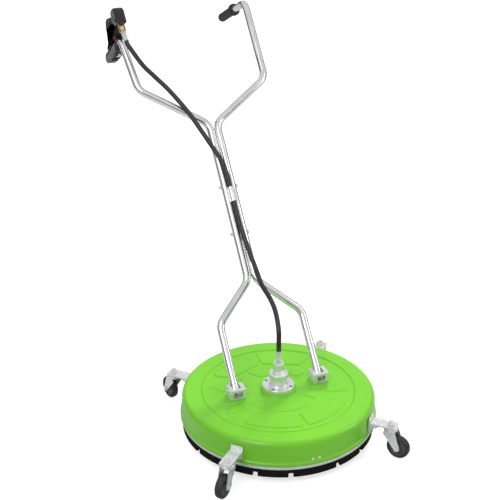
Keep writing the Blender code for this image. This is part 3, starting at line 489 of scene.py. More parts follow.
def hose_cover():
    """Black wrapped rubber: fine spiral ribs of the wrapping cloth and a soft sheen."""
    made = mottled("hose_cover", (0.020, 0.020, 0.022), 0.36, (30.0, 5.0),
                   [(0.3, (0.012, 0.012, 0.014)), (0.7, (0.034, 0.034, 0.037))], 0.10)
    made.bump(made.bands(160.0, kind="UV", direction="DIAGONAL", stretch=(0.05, 1, 1)), 0.22, 0.0004)
    made.bump(made.noise(800.0, 3.0), 0.10, 0.0003)
    return made.material


def moulded_plastic(name, rgb, roughness, grain):
    """Moulded plastic: a leathery spark-eroded grain and faint handling shine."""
    made = mottled(name, rgb, roughness, (25.0, 4.0), [(0.3, 0.75), (0.7, 1.30)], 0.08)
    cells = made.node("ShaderNodeTexVoronoi", {"Scale": 900.0})
    made.link(made.place(), cells.inputs["Vector"])
    made.bump(cells.outputs["Distance"], grain, 0.0005)
    return made.material


def grip_rubber():
    return mottled("grip_rubber", (0.022, 0.022, 0.024), 0.60, (60.0, 5.0),
                   [(0.3, (0.014, 0.014, 0.015)), (0.8, (0.045, 0.044, 0.044))], 0.10,
                   grain=(1100.0, 2.0, 0.25, 0.0004)).material


def brass():
    made = mottled("brass", (0.80, 0.62, 0.33), 0.24, (60.0, 5.0),
                   [(0.25, 0.70), (0.55, 1.0), (0.8, 1.15)], 0.09, metallic=1.0)
    made.bump(made.bands(1300.0, direction="Z", distortion=0.3), 0.06, 0.0002)
    return made.material


def floor_finish(rgb):
    """Plain floor that shows white and throws only a little light up at the object."""
    made = Finish("floor_finish", rgb, 0.85, **{"Emission Color": (1.0, 1.0, 1.0, 1.0)})
    seen = made.node("ShaderNodeLightPath").outputs["Is Camera Ray"]
    made.link(made.span(seen, 0.0, 1.0, 0.0, 0.70), made.shader.inputs["Emission Strength"])
    return made.material


FINISHES = {}


def finishes():
    """Every finish, made once."""
    if not FINISHES:
        scene = bpy.context.scene
        FINISHES.update(
            paint=powder_coat(tuple(scene.cleaner_deck.paint)),
            tube=polished_tube(tuple(scene.cleaner_handle.steel)),
            zinc=zinc_plate(),
            hub=machined_metal("turned_hub", 420.0, DECK_AXIS),
            block=machined_metal("milled_block", 520.0),
            tyre=tyre_rubber(),
            core=wheel_plastic(),
            bristle=bristles(),
            hose=hose_cover(),
            gun=moulded_plastic("gun_plastic", (0.006, 0.006, 0.007), 0.50, 0.45),
            head=moulded_plastic("gun_head_plastic", (0.012, 0.012, 0.014), 0.30, 0.06),
            crimp=moulded_plastic("crimp_sleeve", (0.62, 0.62, 0.63), 0.36, 0.05),
            red=moulded_plastic("latch_plastic", (0.42, 0.03, 0.04), 0.38, 0.15),
            grip=grip_rubber(),
            brass=brass(),
        )
    return FINISHES


def refinish(finish, *nodes):
    """Puts a finish on CAD nodes that are kept as they are."""
    for node in nodes:
        kept = frame["nodes"][node]
        if not kept.material_slots:
            kept.data.materials.append(finish)
        for slot in kept.material_slots:
            slot.material = finish


class Step:
    """A build step: each operator's build gets the scene and the finishes."""

    def execute(self, context):
        self.build(context.scene, finishes())
        return {"FINISHED"}


# ---- deck ----
def inside_lines(x, y, corners):
    """How far a point is inside a convex outline given anticlockwise: the least distance to a side."""
    depth = np.full(x.shape, np.inf)
    for (ax, ay), (bx, by) in zip(corners, corners[1:] + corners[:1]):
        size = math.hypot(bx - ax, by - ay)
        depth = np.minimum(depth, ((bx - ax) * (y - ay) - (by - ay) * (x - ax)) / size)
    return depth


def eased(depth, width):
    """0 outside, 1 inside, with a smooth slope of the given width: 3s^2 - 2s^3."""
    s = np.clip(depth / width, 0, 1)
    return s * s * (3 - 2 * s)


def pressed_height(x, y, rise):
    """Height of the pressings over the top plate: raised panels that are mirrored in both axes,
    a bead round them and a slightly higher outer ring."""
    far = np.hypot(x, y)
    x, y = np.abs(x), np.abs(y)
    slope = 0.0050
    sector = inside_lines(x, y, [(0.004, 0.155), (0.119, 0.106), (0.190, 0.157), (0.007, 0.260)])
    sector = np.minimum(sector, 0.2225 - far)
    side = inside_lines(x, y, [(0.129, 0.076), (0.145, 0.040), (0.172, 0.040), (0.208, 0.089)])
    flank = inside_lines(x, y, [(0.060, 0.066), (0.086, 0.041), (0.118, 0.058), (0.084, 0.098)])
    front = inside_lines(x, y, [(-0.1, 0.0805), (0.029, 0.0805), (0.062, 0.122), (-0.1, 0.2)])
    front = np.minimum(front, 0.134 - far)
    height = rise * eased(sector, slope)
    for panel in (side, flank, front):
        height = np.maximum(height, 0.8 * rise * eased(panel, slope))
    bead = 0.0035 - np.abs(far - 0.2405)
    height = np.maximum(height, rise * eased(bead, 0.0035))
    return np.maximum(height, 0.4 * rise * eased(far - 0.2405, 0.003))


def deck_shell(look):
    """The pressed shell: a profile turned about the deck's axis, with r and z by row, and the
    pressings' height added to z on the top plate."""
    boss_top = high_of("deck_housing", 2)
    boss = 0.0525
    bore = 0.0215
    draft, lip_height = 0.002, 0.010
    wall = look.radius - draft
    lip_top = look.foot + lip_height
    lip = look.radius + look.lip
    quarter = np.linspace(0, np.pi / 2, 14)
    rim = wall - look.shoulder
    top = [(r, look.top) for r in np.arange(boss + 0.012, rim - 0.001, 0.0021)]
    ease = np.linspace(0, 1, 7)
    slope = [(boss + 0.006 * s, boss_top - (boss_top - look.top) * (3 * s * s - 2 * s ** 3))
             for s in ease]
    shoulder = [(rim + look.shoulder * math.sin(t), look.top - look.shoulder * (1 - math.cos(t)))
                for t in quarter]
    side = [(wall + (look.radius - wall) * s, look.top - look.shoulder
             + (lip_top + look.lip - look.top + look.shoulder) * s) for s in np.linspace(0.08, 1, 8)]
    edge = [(look.radius + look.lip * 0.25, lip_top + look.lip * 0.45),
            (look.radius + look.lip * 0.6, lip_top + look.lip * 0.12), (lip - 0.0006, lip_top - 0.0004),
            (lip, lip_top - 0.0012), (lip, look.foot + 0.0007), (lip - 0.0004, look.foot + 0.0001),
            (lip - 0.0009, look.foot), (lip - SHEET + 0.0006, look.foot)]
    inner = [(lip - SHEET, look.foot + 0.0006), (lip - SHEET, lip_top - SHEET),
             (wall - SHEET, lip_top + look.lip), (wall - SHEET, look.top - look.shoulder),
             (rim - 0.001, look.top - SHEET), (boss + 0.008, look.top - SHEET),
             (boss - 0.002, boss_top - SHEET), (bore, boss_top - SHEET)]
    profile = np.array([(bore, boss_top), (boss - 0.004, boss_top)] + slope + top + shoulder + side
                       + edge + inner)
    t = np.linspace(0, 2 * np.pi, 600, endpoint=False)
    x = profile[:, 0, None] * np.cos(t)
    y = profile[:, 0, None] * np.sin(t)
    z = np.broadcast_to(profile[:, 1, None], x.shape).copy()
    over_edge = 5       # rows of the shoulder that the outer ring's height runs on over in full
    first = 2 + len(slope)
    raised = first + len(top) + over_edge
    pressed = slice(first, raised)
    z[pressed] += pressed_height(x[pressed], y[pressed], look.rise)
    fade = np.linspace(1, 0, len(shoulder) - over_edge + 1)[1:, None]
    z[raised:raised + len(fade)] += 0.4 * look.rise * fade
    grid = np.stack([x, y, z], axis=-1) + DECK_AXIS
    return surface("deck_shell", grid, loop=True, sharp=60.0)


def brush_strip(name, node, facing):
    """Half of the bristle ring: a four-cornered section carried round the arc. The foot is
    lower + notch*step, where step is 1 within half a notch of each notch's middle angle, and
    the outer face is ridged by the strands: r = outer + ridge*sin(n*t)."""
    low, high = corners_of(node)
    outer = (high[0] - low[0]) / 2 - 0.0008
    thick = 0.0075
    notch_half = 0.0075 / outer
    first, pitch = math.radians(14.6), math.radians(20.2)
    t = math.radians(facing) + np.linspace(-np.pi / 2 + 0.004, np.pi / 2 - 0.004, 2400)
    offset = t - math.radians(facing)
    nearest = first + np.clip(np.round((np.abs(offset) - first) / pitch), 0, 3) * pitch
    notched = np.abs(np.abs(offset) - nearest) < notch_half
    ragged = 0.0005 * np.sin(t * 517) * np.sin(t * 1301) + 0.0003 * np.sin(t * 2903)
    notch_height = 0.015
    foot = np.where(notched, low[2] + notch_height, low[2] + 0.0008) + ragged
    ridge = 0.00035 * np.sin(t * 900) + 0.0002 * np.sin(t * 1409)
    levels = np.linspace(0, 1, 5)
    rows = []
    for level in levels:
        splay = 0.0006 * (1 - level) ** 2
        rows.append((outer + ridge + splay, foot + (high[2] - foot) * level))
    for level in levels[::-1]:
        rows.append((outer - thick + ridge, foot + (high[2] - foot) * level))
    grid = np.stack([np.stack([r * np.cos(t), r * np.sin(t), z], axis=-1) for r, z in rows])
    grid = grid.transpose(1, 0, 2) + DECK_AXIS
    return surface(name, grid, sharp=70.0)


class CLEANER_OT_deck(Step, bpy.types.Operator):
    """Builds the pressed deck, its steel band, the bristle ring and the small wall screws"""
    bl_idname = "cleaner.deck"
    bl_label = "Deck"

    def build(self, scene, kit):
        look = scene.cleaner_deck
        finish_piece(deck_shell(look), "deck", kit["paint"], ["deck_housing"])
        outer = (high_of("skirt_band", 0) - low_of("skirt_band", 0)) / 2
        foot, head = low_of("skirt_band", 2), high_of("skirt_band", 2)
        band = turned("band", [(outer - 0.003, head), (outer, head), (outer, foot),
                               (outer - 0.003, foot)], DECK_AXIS, sides=360)
        finish_piece(band, "deck", kit["zinc"], ["skirt_band"])
        for node, facing in (("brush_front", -90), ("brush_rear", 90)):
            strip = brush_strip(node + "_bristles", node, facing)
            finish_piece(strip, "deck", kit["bristle"], [node])
        for k, azimuth in enumerate((-92.5, -88.5, 87.5, 91.5)):
            turn = math.radians(azimuth)
            out = np.array([math.cos(turn), math.sin(turn), 0])
            seat = DECK_AXIS + out * (look.radius - 0.0006) + np.array([0, 0, look.foot + 0.017])
            head = turned(f"wall_screw_{k + 1}", [(0.0001, 0.0034), (0.0022, 0.0031), (0.0040, 0.0020),
                                                  (0.0046, 0.0), (0.0001, 0.0)],
                          seat, out, sides=24, fillet=0.0004, loop=False)
            finish_piece(head, "deck", kit["zinc"])


# ---- hub ----
class CLEANER_OT_hub(Step, bpy.types.Operator):
    """Builds the turned hub, its screws and the crimped ferrule, and finishes the hex swivel inlet,
    rotor, spray bar and nozzles
    """
    bl_idname = "cleaner.hub"
    bl_label = "Hub"

    def build(self, scene, kit):
        low, high = corners_of("hub_housing")
        flange = (high[0] - low[0]) / 2
        seat = high_of("deck_housing", 2) + GAP
        flange_top = seat + FLANGE_THICKNESS
        top = high[2]
        cap, body, spigot, bearing, throat = 0.0305, 0.0272, 0.0210, 0.0125, 0.0095
        cap_foot = top - 0.0150
        profile = [(throat, top), (cap - 0.003, top), (cap, top - 0.0020), (cap, cap_foot + 0.001),
                   (cap - 0.001, cap_foot), (body, cap_foot)]
        profile += grooves(body, cap_foot - 0.004, 5, 0.0038, 0.0003, (0.0004, 0.0010, 0.0014))
        profile += [(body, flange_top + 0.002), (body + 0.002, flange_top), (flange - 0.001, flange_top),
                    (flange, flange_top - 0.0012), (flange, seat + 0.001), (flange - 0.001, seat),
                    (spigot, seat), (spigot, low[2]), (bearing, low[2]), (bearing, top - 0.015),
                    (throat, top - 0.015)]
        housing = turned("hub_body", profile, DECK_AXIS, sides=128, fillet=0.0005)
        finish_piece(housing, "deck", kit["hub"], ["hub_housing"])
        for k in range(4):
            node = f"hub_screw_{k + 1}"
            at = middle(node) * (1, 1, 0) + (0, 0, flange_top)
            screw = hex_socket_screw(node + "_head", at)
            finish_piece(screw, "deck", kit["core"], [node])
        refinish(kit["hub"], "swivel_inlet")
        outline = crimped(low_of("hub_ferrule", 2), high_of("hub_ferrule", 2))
        sleeve = turned("hub_ferrule_sleeve", outline, DECK_AXIS, sides=48, fillet=0.0004, loop=False)
        finish_piece(sleeve, "deck", kit["crimp"], ["hub_ferrule"])
        refinish(kit["zinc"], "rotor_shaft", "spray_bar")
        refinish(kit["brass"], "nozzle_left", "nozzle_right")


def grooves(radius, start, count, pitch, depth, edges):
    """The outline down through grooves round a piece, the first one at start: each goes in by
    depth until edges[0], is level until edges[1] and is out again at edges[2] below its start."""
    outline = []
    for k in range(count):
        at = start - pitch * k
        outline += [(radius, at), (radius - depth, at - edges[0]), (radius - depth, at - edges[1]),
                    (radius, at - edges[2])]
    return outline


def hex_socket_screw(name, at):
    """A cap screw's head: rings from the rim up and over into a six-sided socket, where the
    socket's radius is flat/cos(t mod 60 - 30 degrees)."""
    t = np.linspace(0, 2 * np.pi, 48, endpoint=False)
    six = 0.0021 / np.cos((t % (np.pi / 3)) - np.pi / 6)
    round_ = np.ones_like(t)
    rows = [(0.0046 * round_, -0.004), (0.0046 * round_, 0.0002), (0.0043 * round_, 0.0006),
            (0.0036 * round_, 0.0007), (six * 1.05, 0.0007), (six, 0.0004), (six, -0.0020)]
    grid = np.stack([np.stack([r * np.cos(t), r * np.sin(t), np.full_like(t, z)], axis=-1)
                     for r, z in rows])
    return surface(name, grid + np.asarray(at))


def crimped(foot, head):
    """The outline of a crimped ferrule between two heights: a sleeve with three pressed rings."""
    radius, neck = FERRULE_RADIUS, FERRULE_RADIUS * 0.8
    return ([(0.0001, head), (radius - 0.0012, head), (radius, head - 0.0012)]
            + grooves(radius, head - 0.007, 3, 0.008, 0.0009, (0.0014, 0.0040, 0.0054))
            + [(radius, foot + 0.006), (neck, foot + 0.004), (neck, foot), (0.0001, foot)])


# ---- casters ----
def mirrored(outline):
    """A wheel's outline from its upper half: the same points with z the other way follow it."""
    return outline + [(r, -z) for r, z in reversed(outline)]


class CLEANER_OT_casters(Step, bpy.types.Operator):
    """Builds the tyres and wheel cores, and finishes the brackets, stems, forks and axles"""
    bl_idname = "cleaner.casters"
    bl_label = "Casters"

    def build(self, scene, kit):
        look = scene.cleaner_wheel
        half = look.width / 2
        tyre_depth = 0.009
        rim = look.radius - tyre_depth
        tyre = mirrored([(rim + 0.0002, half - 0.003), (look.radius - 0.0055, half - 0.0008),
                         (look.radius - 0.0015, half - 0.0035), (look.radius, half - 0.0075)])
        core = mirrored([(0.0050, half), (0.0100, half), (0.0115, half - 0.0015),
                         (0.0125, half - 0.0055), (rim - 0.0035, half - 0.0055),
                         (rim - 0.0022, half - 0.0028), (rim, half - 0.0028)])
        for spot in SPOTS:
            roll = JOINTS["roll_" + spot]
            centre, axis = roll["pos_m"], roll["axis"]
            body = "wheel_" + spot
            for kind, profile, finish, slot in (("tyre", tyre, kit["tyre"], "tyre_rubber"),
                                                ("core", core, kit["core"], "wheel_core")):
                piece = turned(f"{kind}_{spot}", profile, centre, axis, sides=96, fillet=0.0010)
                finish_piece(piece, body, finish, [f"caster_{kind}_{spot}"])
            refinish(kit["zinc"], *(f"caster_{kind}_{spot}" for kind in ("bracket", "stem", "fork",
                                                                         "axle")))


# ---- handle ----
def on_handle(points):
    """Points given across, along and off the handle's plane, as world points."""
    points = np.atleast_2d(np.asarray(points, float))
    along = np.array([0, math.cos(TUBE_SLOPE), math.sin(TUBE_SLOPE)])
    off = np.array([0, -math.sin(TUBE_SLOPE), math.cos(TUBE_SLOPE)])
    return TILT + points[:, :1] * (1, 0, 0) + points[:, 1:2] * along + points[:, 2:3] * off


HAND_ENDS = {  # side: (across, along, drop, straight, bend)
    -1: (0.2454, 1.229, math.radians(74.6), 0.110, 0.024),
    1: (0.2250, 1.3377, math.radians(71.2), 0.262, 0.045),
}


def hand_direction(side):
    drop = HAND_ENDS[side][2]
    return np.array([0.0, math.cos(drop), -math.sin(drop)])


def handle_path(side, look):
    """The middle line of one tube, from its clamp up to its hand end."""
    leg, waist, arm = 0.1395, look.tube + GAP, 0.2250
    end_x, end_along, _, straight, hand_bend = HAND_ENDS[side]
    corners = np.array([(side * leg, -0.006, 0), (side * leg, 0.2113, 0), (side * waist, 0.3377, 0),
                        (side * waist, 0.8932, 0), (side * arm, 1.0416, 0), (side * end_x, end_along, 0),
                        np.array([side * end_x, end_along, 0]) + hand_direction(side) * straight])
    path = along_bends(corners, [look.bend] * 4 + [hand_bend])
    return on_handle(path)


def hose_path(look):
    """The hose's middle line from the hub's ferrule, through the clip, to the gun's ferrule."""
    hub_end = np.array([*DECK_AXIS[:2], high_of("hub_ferrule", 2) + GAP])
    lead = 1.5 * look.hose
    rise = DECK_AXIS + np.array([(0.007, 0.020, 0.335), (0.014, 0.064, 0.374), (0.015, 0.112, 0.397)])
    held = on_handle([HOSE_HELD, (0.012, 0.350, 0.034), (0.010, 0.400, 0.0235),
                      (0.006, 0.450, 0.0208), (0.001, 0.520, 0.0172), (0.0, 0.600, 0.0172),
                      (0.0, 0.660, 0.0172), (-0.001, 0.700, 0.0190), (-0.010, 0.750, 0.0222),
                      (-0.030, 0.805, 0.0225), (-0.052, 0.862, 0.0225), (-0.082, 0.935, 0.0225),
                      (-0.127, 1.018, 0.0225), (-0.170, 1.080, 0.0235), (-0.201, 1.122, 0.0290)])
    outlet, lean = gun_outlet()
    end = outlet + lean * (OUTLET_LENGTH + FERRULE_LENGTH + 2 * GAP)
    route = np.vstack([hub_end + (0, 0, lead), rise, held, end + lean * lead])
    return np.vstack([hub_end, smooth_curve(route, 0.006), end])


# ---- gun frame ----
def gun_axes():
    """Origin and the side, back and up directions of the gun."""
    across, along = -HAND_ENDS[-1][0], HAND_ENDS[-1][1]
    origin = on_handle([(across, along, 0)])[0]
    back = on_handle([np.array([across, along, 0]) + hand_direction(-1)])[0] - origin
    side = np.array([1.0, 0, 0])
    return origin, side, back, np.cross(side, back)


def on_gun(points):
    origin, side, back, up = gun_axes()
    points = np.atleast_2d(np.asarray(points, float))
    return origin + points[:, :1] * side + points[:, 1:2] * back + points[:, 2:3] * up


def gun_outlet():
    """The outlet's place and the direction that the hose leaves in."""
    lean_angle, splay = math.radians(15.2), math.radians(6.0)
    lean = np.array([math.sin(splay), -math.sin(lean_angle), -math.cos(lean_angle)])
    lean /= np.linalg.norm(lean)
    outlet = on_gun([(0, -0.030, HEAD_FOOT)])[0]
    return outlet, on_gun([lean])[0] - on_gun([(0, 0, 0)])[0]


class CLEANER_OT_handle(Step, bpy.types.Operator):
    """Builds the bent tubes and the hose, and finishes the clamps, bolts and clip"""
    bl_idname = "cleaner.handle"
    bl_label = "Handle"

    def build(self, scene, kit):
        look = scene.cleaner_handle
        for side, name in ((-1, "left"), (1, "right")):
            path = handle_path(side, look)
            tube = swept("bent_tube_" + name, path, look.tube, sides=40, bore=look.tube - TUBE_WALL)
            finish_piece(tube, "handle", kit["tube"], ["handle_tube_" + name])
            refinish(kit["block"], "clamp_base_" + name, "clamp_cap_" + name)
            refinish(kit["zinc"], "pivot_pin_" + name)
        refinish(kit["zinc"], "cross_bolt_lower", "cross_bolt_upper", "hose_clip")
        route = hose_path(look)
        hose = swept("pressure_hose", route, look.hose, sides=24)
        finish_piece(hose, None, kit["hose"], ["hose"])
        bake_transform(hose)


class CLEANER_OT_grip(Step, bpy.types.Operator):
    """Builds the rubber grip with its flange on the right hand end"""
    bl_idname = "cleaner.grip"
    bl_label = "Grip"

    def build(self, scene, kit):
        end_x, end_along, _, straight, _ = HAND_ENDS[1]
        origin = on_handle([(end_x, end_along, 0)])[0]
        axis = on_handle([np.array([end_x, end_along, 0]) + hand_direction(1)])[0] - origin
        start, end = 0.120, straight + 0.0043       # along the hand end, from its bend
        radius, flange, bore = 0.0165, 0.022, 0.0129
        profile = [(0.0001, end), (radius - 0.004, end), (radius - 0.001, end - 0.0015),
                   (radius, end - 0.005)]
        profile += grooves(radius, end - 0.016, 14, 0.0075, 0.0007, (0.0012, 0.0028, 0.0040))
        profile += [(radius, start + 0.0085), (radius + 0.002, start + 0.0065), (flange, start + 0.006),
                    (flange, start), (bore, start)]
        profile += [(bore, end - 0.004), (0.0001, end - 0.004)]
        grip = turned("rubber_grip", profile, origin, axis, sides=72, fillet=0.0005, loop=False)
        finish_piece(grip, "handle", kit["grip"], ["right_grip"])


def prism(name, outline, low, high, edge_low, edge_high=None):
    """A thick plate with rounded edges: the outline's rings, drawn in by edge*(1-sin(t)) while the
    height moves by edge*(1-cos(t)) for t from 0 to 90 degrees, and closed over each face."""
    edge_high = edge_low if edge_high is None else edge_high
    outline = np.asarray(outline, float)
    ahead = np.roll(outline, -1, axis=0) - outline
    behind = outline - np.roll(outline, 1, axis=0)
    normal_a = np.stack([ahead[:, 1], -ahead[:, 0]], axis=1)
    normal_b = np.stack([behind[:, 1], -behind[:, 0]], axis=1)
    normal_a /= np.linalg.norm(normal_a, axis=1)[:, None]
    normal_b /= np.linalg.norm(normal_b, axis=1)[:, None]
    normal = normal_a + normal_b
    normal /= np.maximum(np.sum(normal * normal_a, axis=1), 0.6)[:, None]
    area = np.sum(outline[:, 0] * np.roll(outline[:, 1], -1) - outline[:, 1] * np.roll(outline[:, 0], -1))
    inwards = -normal if area > 0 else normal
    t = np.linspace(0, np.pi / 2, 5)
    draw_in, lift = 1 - np.sin(t), 1 - np.cos(t)
    drawn = np.concatenate([[1.4 * edge_low], edge_low * draw_in, edge_high * draw_in[::-1],
                            [1.4 * edge_high]])
    levels = np.concatenate([[low], low + edge_low * lift, high - edge_high * lift[::-1], [high]])
    rings = [outline + inwards * amount for amount in drawn]
    points = np.concatenate([np.column_stack([np.full(len(ring), level), ring])
                             for ring, level in zip(rings, levels)])
    count = len(outline)
    faces = grid_faces(len(rings), count, True, False).tolist()
    faces.append(list(range(count))[::-1])
    faces.append(list(range((len(rings) - 1) * count, len(rings) * count)))
    return to_object(name, on_gun(points), faces, sharp=30.0)


class CLEANER_OT_gun(Step, bpy.types.Operator):
    """Builds the gun's smooth head, rear grip and lower bar and the crimped ferrule beyond its hex
    outlet, and finishes the valve, inlet and latch"""
    bl_idname = "cleaner.gun"
    bl_label = "Gun"

    def build(self, scene, kit):
        head = rounded([(-0.012, 0.048), (-0.052, 0.048), (-0.052, 0.060), (-0.036, 0.098),
                        (-0.026, 0.107), (-0.012, 0.110), (0.010, 0.111), (0.021, 0.106),
                        (0.026, 0.090), (0.024, 0.0705), (0.012, 0.0625)], 0.004, 5, closed=True)
        rear = rounded([(0.0235, 0.0705), (0.030, 0.090), (0.040, 0.093), (0.098, 0.104),
                        (0.116, 0.101), (0.125, 0.088), (0.129, 0.045), (0.133, 0.018),
                        (0.142, 0.005), (0.150, 0.003), (0.106, 0.012), (0.113, 0.020),
                        (0.113, 0.060), (0.104, 0.070)], 0.004, 5, closed=True)
        bar = rounded([(0.0205, 0.018), (0.0205, -0.016), (0.030, -0.026), (0.070, -0.034),
                       (0.186, -0.034), (0.200, -0.026), (0.203, -0.009), (0.188, 0.004),
                       (0.142, 0.0055), (0.108, 0.0115), (0.030, 0.012)], 0.004, 5, closed=True)
        bow = rounded([(-0.012, 0.049), (-0.006, 0.032), (0.0205, 0.017), (0.031, 0.0115),
                       (0.008, 0.030), (0.011, 0.0625)], 0.003, 5, closed=True)
        head_roof = [(-0.0525, 0.0478), (-0.0525, 0.0600), (-0.0362, 0.0982), (-0.0260, 0.1072),
                     (-0.0120, 0.1102), (0.0100, 0.1112), (0.0212, 0.1062), (0.0250, 0.0960),
                     (0.0200, 0.1020), (-0.0305, 0.1020), (-0.0305, 0.0478)]
        rear_roof = rounded([(0.0240, 0.0850), (0.030, 0.0902), (0.040, 0.0932), (0.098, 0.1042),
                             (0.116, 0.1012), (0.1252, 0.088), (0.1292, 0.045), (0.1332, 0.018),
                             (0.142, 0.0052), (0.150, 0.0032), (0.106, 0.012), (0.113, 0.020),
                             (0.1190, 0.060), (0.1190, 0.085)], 0.004, 5, closed=True)
        seam = rounded([(0.030, 0.071), (0.030, 0.0745), (0.126, 0.0745), (0.1262, 0.071)], 0.0008,
                       3, closed=True)
        slot, fine = 0.0068, 0.0003
        plates = [("gun_head_roof", head_roof, -slot, slot, fine, fine, kit["head"]),
                  ("gun_rear_roof", rear_roof, -slot, slot, fine, fine, kit["gun"]),
                  ("gun_bar", bar, -0.0180, 0.0180, 0.0075, 0.0075, kit["head"]),
                  ("gun_bow", bow, -0.0130, 0.0130, 0.0040, 0.0040, kit["gun"])]
        for name, outline, half, edge, finish in (("gun_head", head, 0.0180, 0.0070, kit["head"]),
                                                  ("gun_rear", rear, 0.0165, 0.0060, kit["gun"]),
                                                  ("gun_seam", seam, 0.0172, 0.0012, kit["core"])):
            plates += [(name + "_left", outline, -half, -slot, edge, fine, finish),
                       (name + "_right", outline, slot, half, fine, edge, finish)]
        for name, outline, low, high, edge_low, edge_high, finish in plates:
            piece = prism(name, outline, low, high, edge_low, edge_high)
            replaced = {"gun_head_left": ["gun_shell_left"], "gun_head_right": ["gun_shell_right"]}
            finish_piece(piece, "handle", finish, replaced.get(name, ()))
        for k in range(4):
            back = 0.052 + 0.026 * k
            rib = prism(f"gun_foot_{k + 1}", rounded([(back, -0.0335), (back + 0.010, -0.0335),
                                                      (back + 0.009, -0.0372), (back + 0.001, -0.0372)],
                                                     0.0010, 3, closed=True), -0.0125, 0.0125, 0.0015)
            finish_piece(rib, "handle", kit["gun"])
        refinish(kit["gun"], "trigger")
        refinish(kit["red"], "safety_latch")
        refinish(kit["brass"], "valve_body")
        refinish(kit["zinc"], "supply_inlet", "valve_plunger")
        outlet, lean = gun_outlet()
        foot = outlet + lean * (OUTLET_LENGTH + GAP)
        sleeve = turned("gun_ferrule_sleeve", crimped(0.0, FERRULE_LENGTH), foot, lean, sides=48,
                        fillet=0.0004, loop=False)
        finish_piece(sleeve, "handle", kit["crimp"], ["gun_ferrule"])


# ---- stage ----
def look_at(thing, target):
    """Turns a light or camera so that its -Z points at the target."""
    away = np.array(thing.location) - np.asarray(target)
    away /= np.linalg.norm(away)
    side = np.cross((0, 0, 1), away)
    side /= np.linalg.norm(side)
    up = np.cross(away, side)
    matrix = np.eye(4)
    matrix[:3, 0], matrix[:3, 1], matrix[:3, 2] = side, up, away
    matrix[:3, 3] = thing.location
    thing.matrix_world = [list(column) for column in matrix.T]


def stand(name, data, place, target):
    """A new light or camera that looks at the target."""
    made = bpy.data.objects.new(name, data)
    bpy.context.scene.collection.objects.link(made)
    made.location = place
    look_at(made, target)
    return made


def soft_light(name, place, target, size, power):
    data = bpy.data.lights.new(name, "AREA")
    data.shape = "RECTANGLE"
    data.size, data.size_y = size
    data.energy = power
    stand(name, data, place, target)


def studio_world():
    """White to the camera. To the object it has a dark band low over the horizon, which draws the
    lines along polished round pieces: brightness by the direction's height, 0 level and 1 upright."""
    world = bpy.data.worlds.new("studio")
    world.use_nodes = True
    tree = world.node_tree
    add, link = tree.nodes.new, tree.links.new
    split = add("ShaderNodeSeparateXYZ")
    ramp = add("ShaderNodeValToRGB")
    stops = ((0.00, 0.30), (0.05, 0.04), (0.20, 0.04), (0.34, 0.95), (0.70, 1.0))
    elements = ramp.color_ramp.elements
    while len(elements) < len(stops):
        elements.new(0.5)
    for element, (height, grey) in zip(elements, stops):
        element.position = height
        element.color = (grey, grey, grey, 1.0)
    lit, plain, choice = tree.nodes["Background"], add("ShaderNodeBackground"), add("ShaderNodeMixShader")
    lit.inputs["Strength"].default_value = 0.72
    plain.inputs["Color"].default_value = (1, 1, 1, 1)
    link(add("ShaderNodeTexCoord").outputs["Generated"], split.inputs["Vector"])
    link(split.outputs["Z"], ramp.inputs["Fac"])
    link(ramp.outputs["Color"], lit.inputs["Color"])
    link(add("ShaderNodeLightPath").outputs["Is Camera Ray"], choice.inputs[0])
    link(lit.outputs[0], choice.inputs[1])
    link(plain.outputs[0], choice.inputs[2])
    link(choice.outputs[0], tree.nodes["World Output"].inputs["Surface"])
    return world


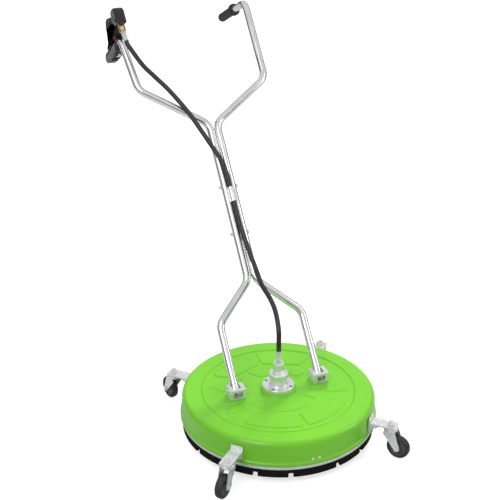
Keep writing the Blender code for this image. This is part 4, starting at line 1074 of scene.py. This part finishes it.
class CLEANER_OT_stage(Step, bpy.types.Operator):
    """Lays the pale floor and sets the soft lights and the camera"""
    bl_idname = "cleaner.stage"
    bl_label = "Stage"

    def build(self, scene, kit):
        look = scene.cleaner_stage
        t = np.linspace(0, 2 * np.pi, 96, endpoint=False)
        wide, top, foot = 14.0, -0.0006, -0.03
        rings = [np.stack([r * np.cos(t), r * np.sin(t), np.full_like(t, z)], axis=-1)
                 for r, z in ((1.5, top), (wide, top), (wide, foot))]
        floor = surface("floor", np.array(rings))
        floor.data.materials.append(floor_finish(tuple(look.floor)))

        aim = DECK_AXIS + np.array([-0.0831, 0.0313, 0.616])
        a, e = look.azimuth, look.elevation
        direction = np.array([math.sin(a) * math.cos(e), -math.cos(a) * math.cos(e), math.sin(e)])
        data = bpy.data.cameras.new("camera")
        data.lens = look.lens
        data.sensor_width = 36.0
        data.clip_end = 60.0
        scene.camera = stand("camera", data, aim + direction * look.distance, aim)

        centre = DECK_AXIS + np.array([0, 0.3, 0.4])
        soft_light("key", (-1.9, -1.9, 3.4), centre, (1.6, 2.4), 38)
        soft_light("fill", (2.9, -1.2, 2.1), centre, (0.8, 2.6), 16)
        sun = stand("sun", bpy.data.lights.new("sun", "SUN"), (2.4, 3.0, 3.0), centre)
        sun.data.energy, sun.data.angle = 1.9, math.radians(14)
        sun.visible_glossy = False
        scene.world = studio_world()
        scene.view_settings.view_transform = "Standard"


# ---- panel and registration ----
STEPS = ("stage", "deck", "hub", "casters", "handle", "grip", "gun")


class CLEANER_PT_panel(bpy.types.Panel):
    """Sizes, colours and build steps of the surface cleaner"""
    bl_idname = "CLEANER_PT_panel"
    bl_label = "Surface cleaner"
    bl_space_type = "VIEW_3D"
    bl_region_type = "UI"
    bl_category = "Cleaner"

    def draw(self, context):
        for group in ("deck", "handle", "wheel", "stage"):
            look = getattr(context.scene, "cleaner_" + group)
            box = self.layout.box()
            for name in look.__annotations__:
                box.prop(look, name)
        for step in STEPS:
            self.layout.operator("cleaner." + step)


GROUPS = {"cleaner_deck": DeckLook, "cleaner_handle": HandleLook, "cleaner_wheel": WheelLook,
          "cleaner_stage": StageLook}
OPERATORS = (CLEANER_OT_stage, CLEANER_OT_deck, CLEANER_OT_hub, CLEANER_OT_casters,
             CLEANER_OT_handle, CLEANER_OT_grip, CLEANER_OT_gun)


def register():
    for kind in (*GROUPS.values(), *OPERATORS, CLEANER_PT_panel):
        bpy.utils.register_class(kind)
    for name, kind in GROUPS.items():
        setattr(bpy.types.Scene, name, bpy.props.PointerProperty(type=kind))


def unregister():
    for name in GROUPS:
        delattr(bpy.types.Scene, name)
    for kind in (CLEANER_PT_panel, *reversed(OPERATORS), *GROUPS.values()):
        bpy.utils.unregister_class(kind)


def main():
    register()
    for step in STEPS:
        getattr(bpy.ops.cleaner, step)()


if __name__ == "__main__":
    main()
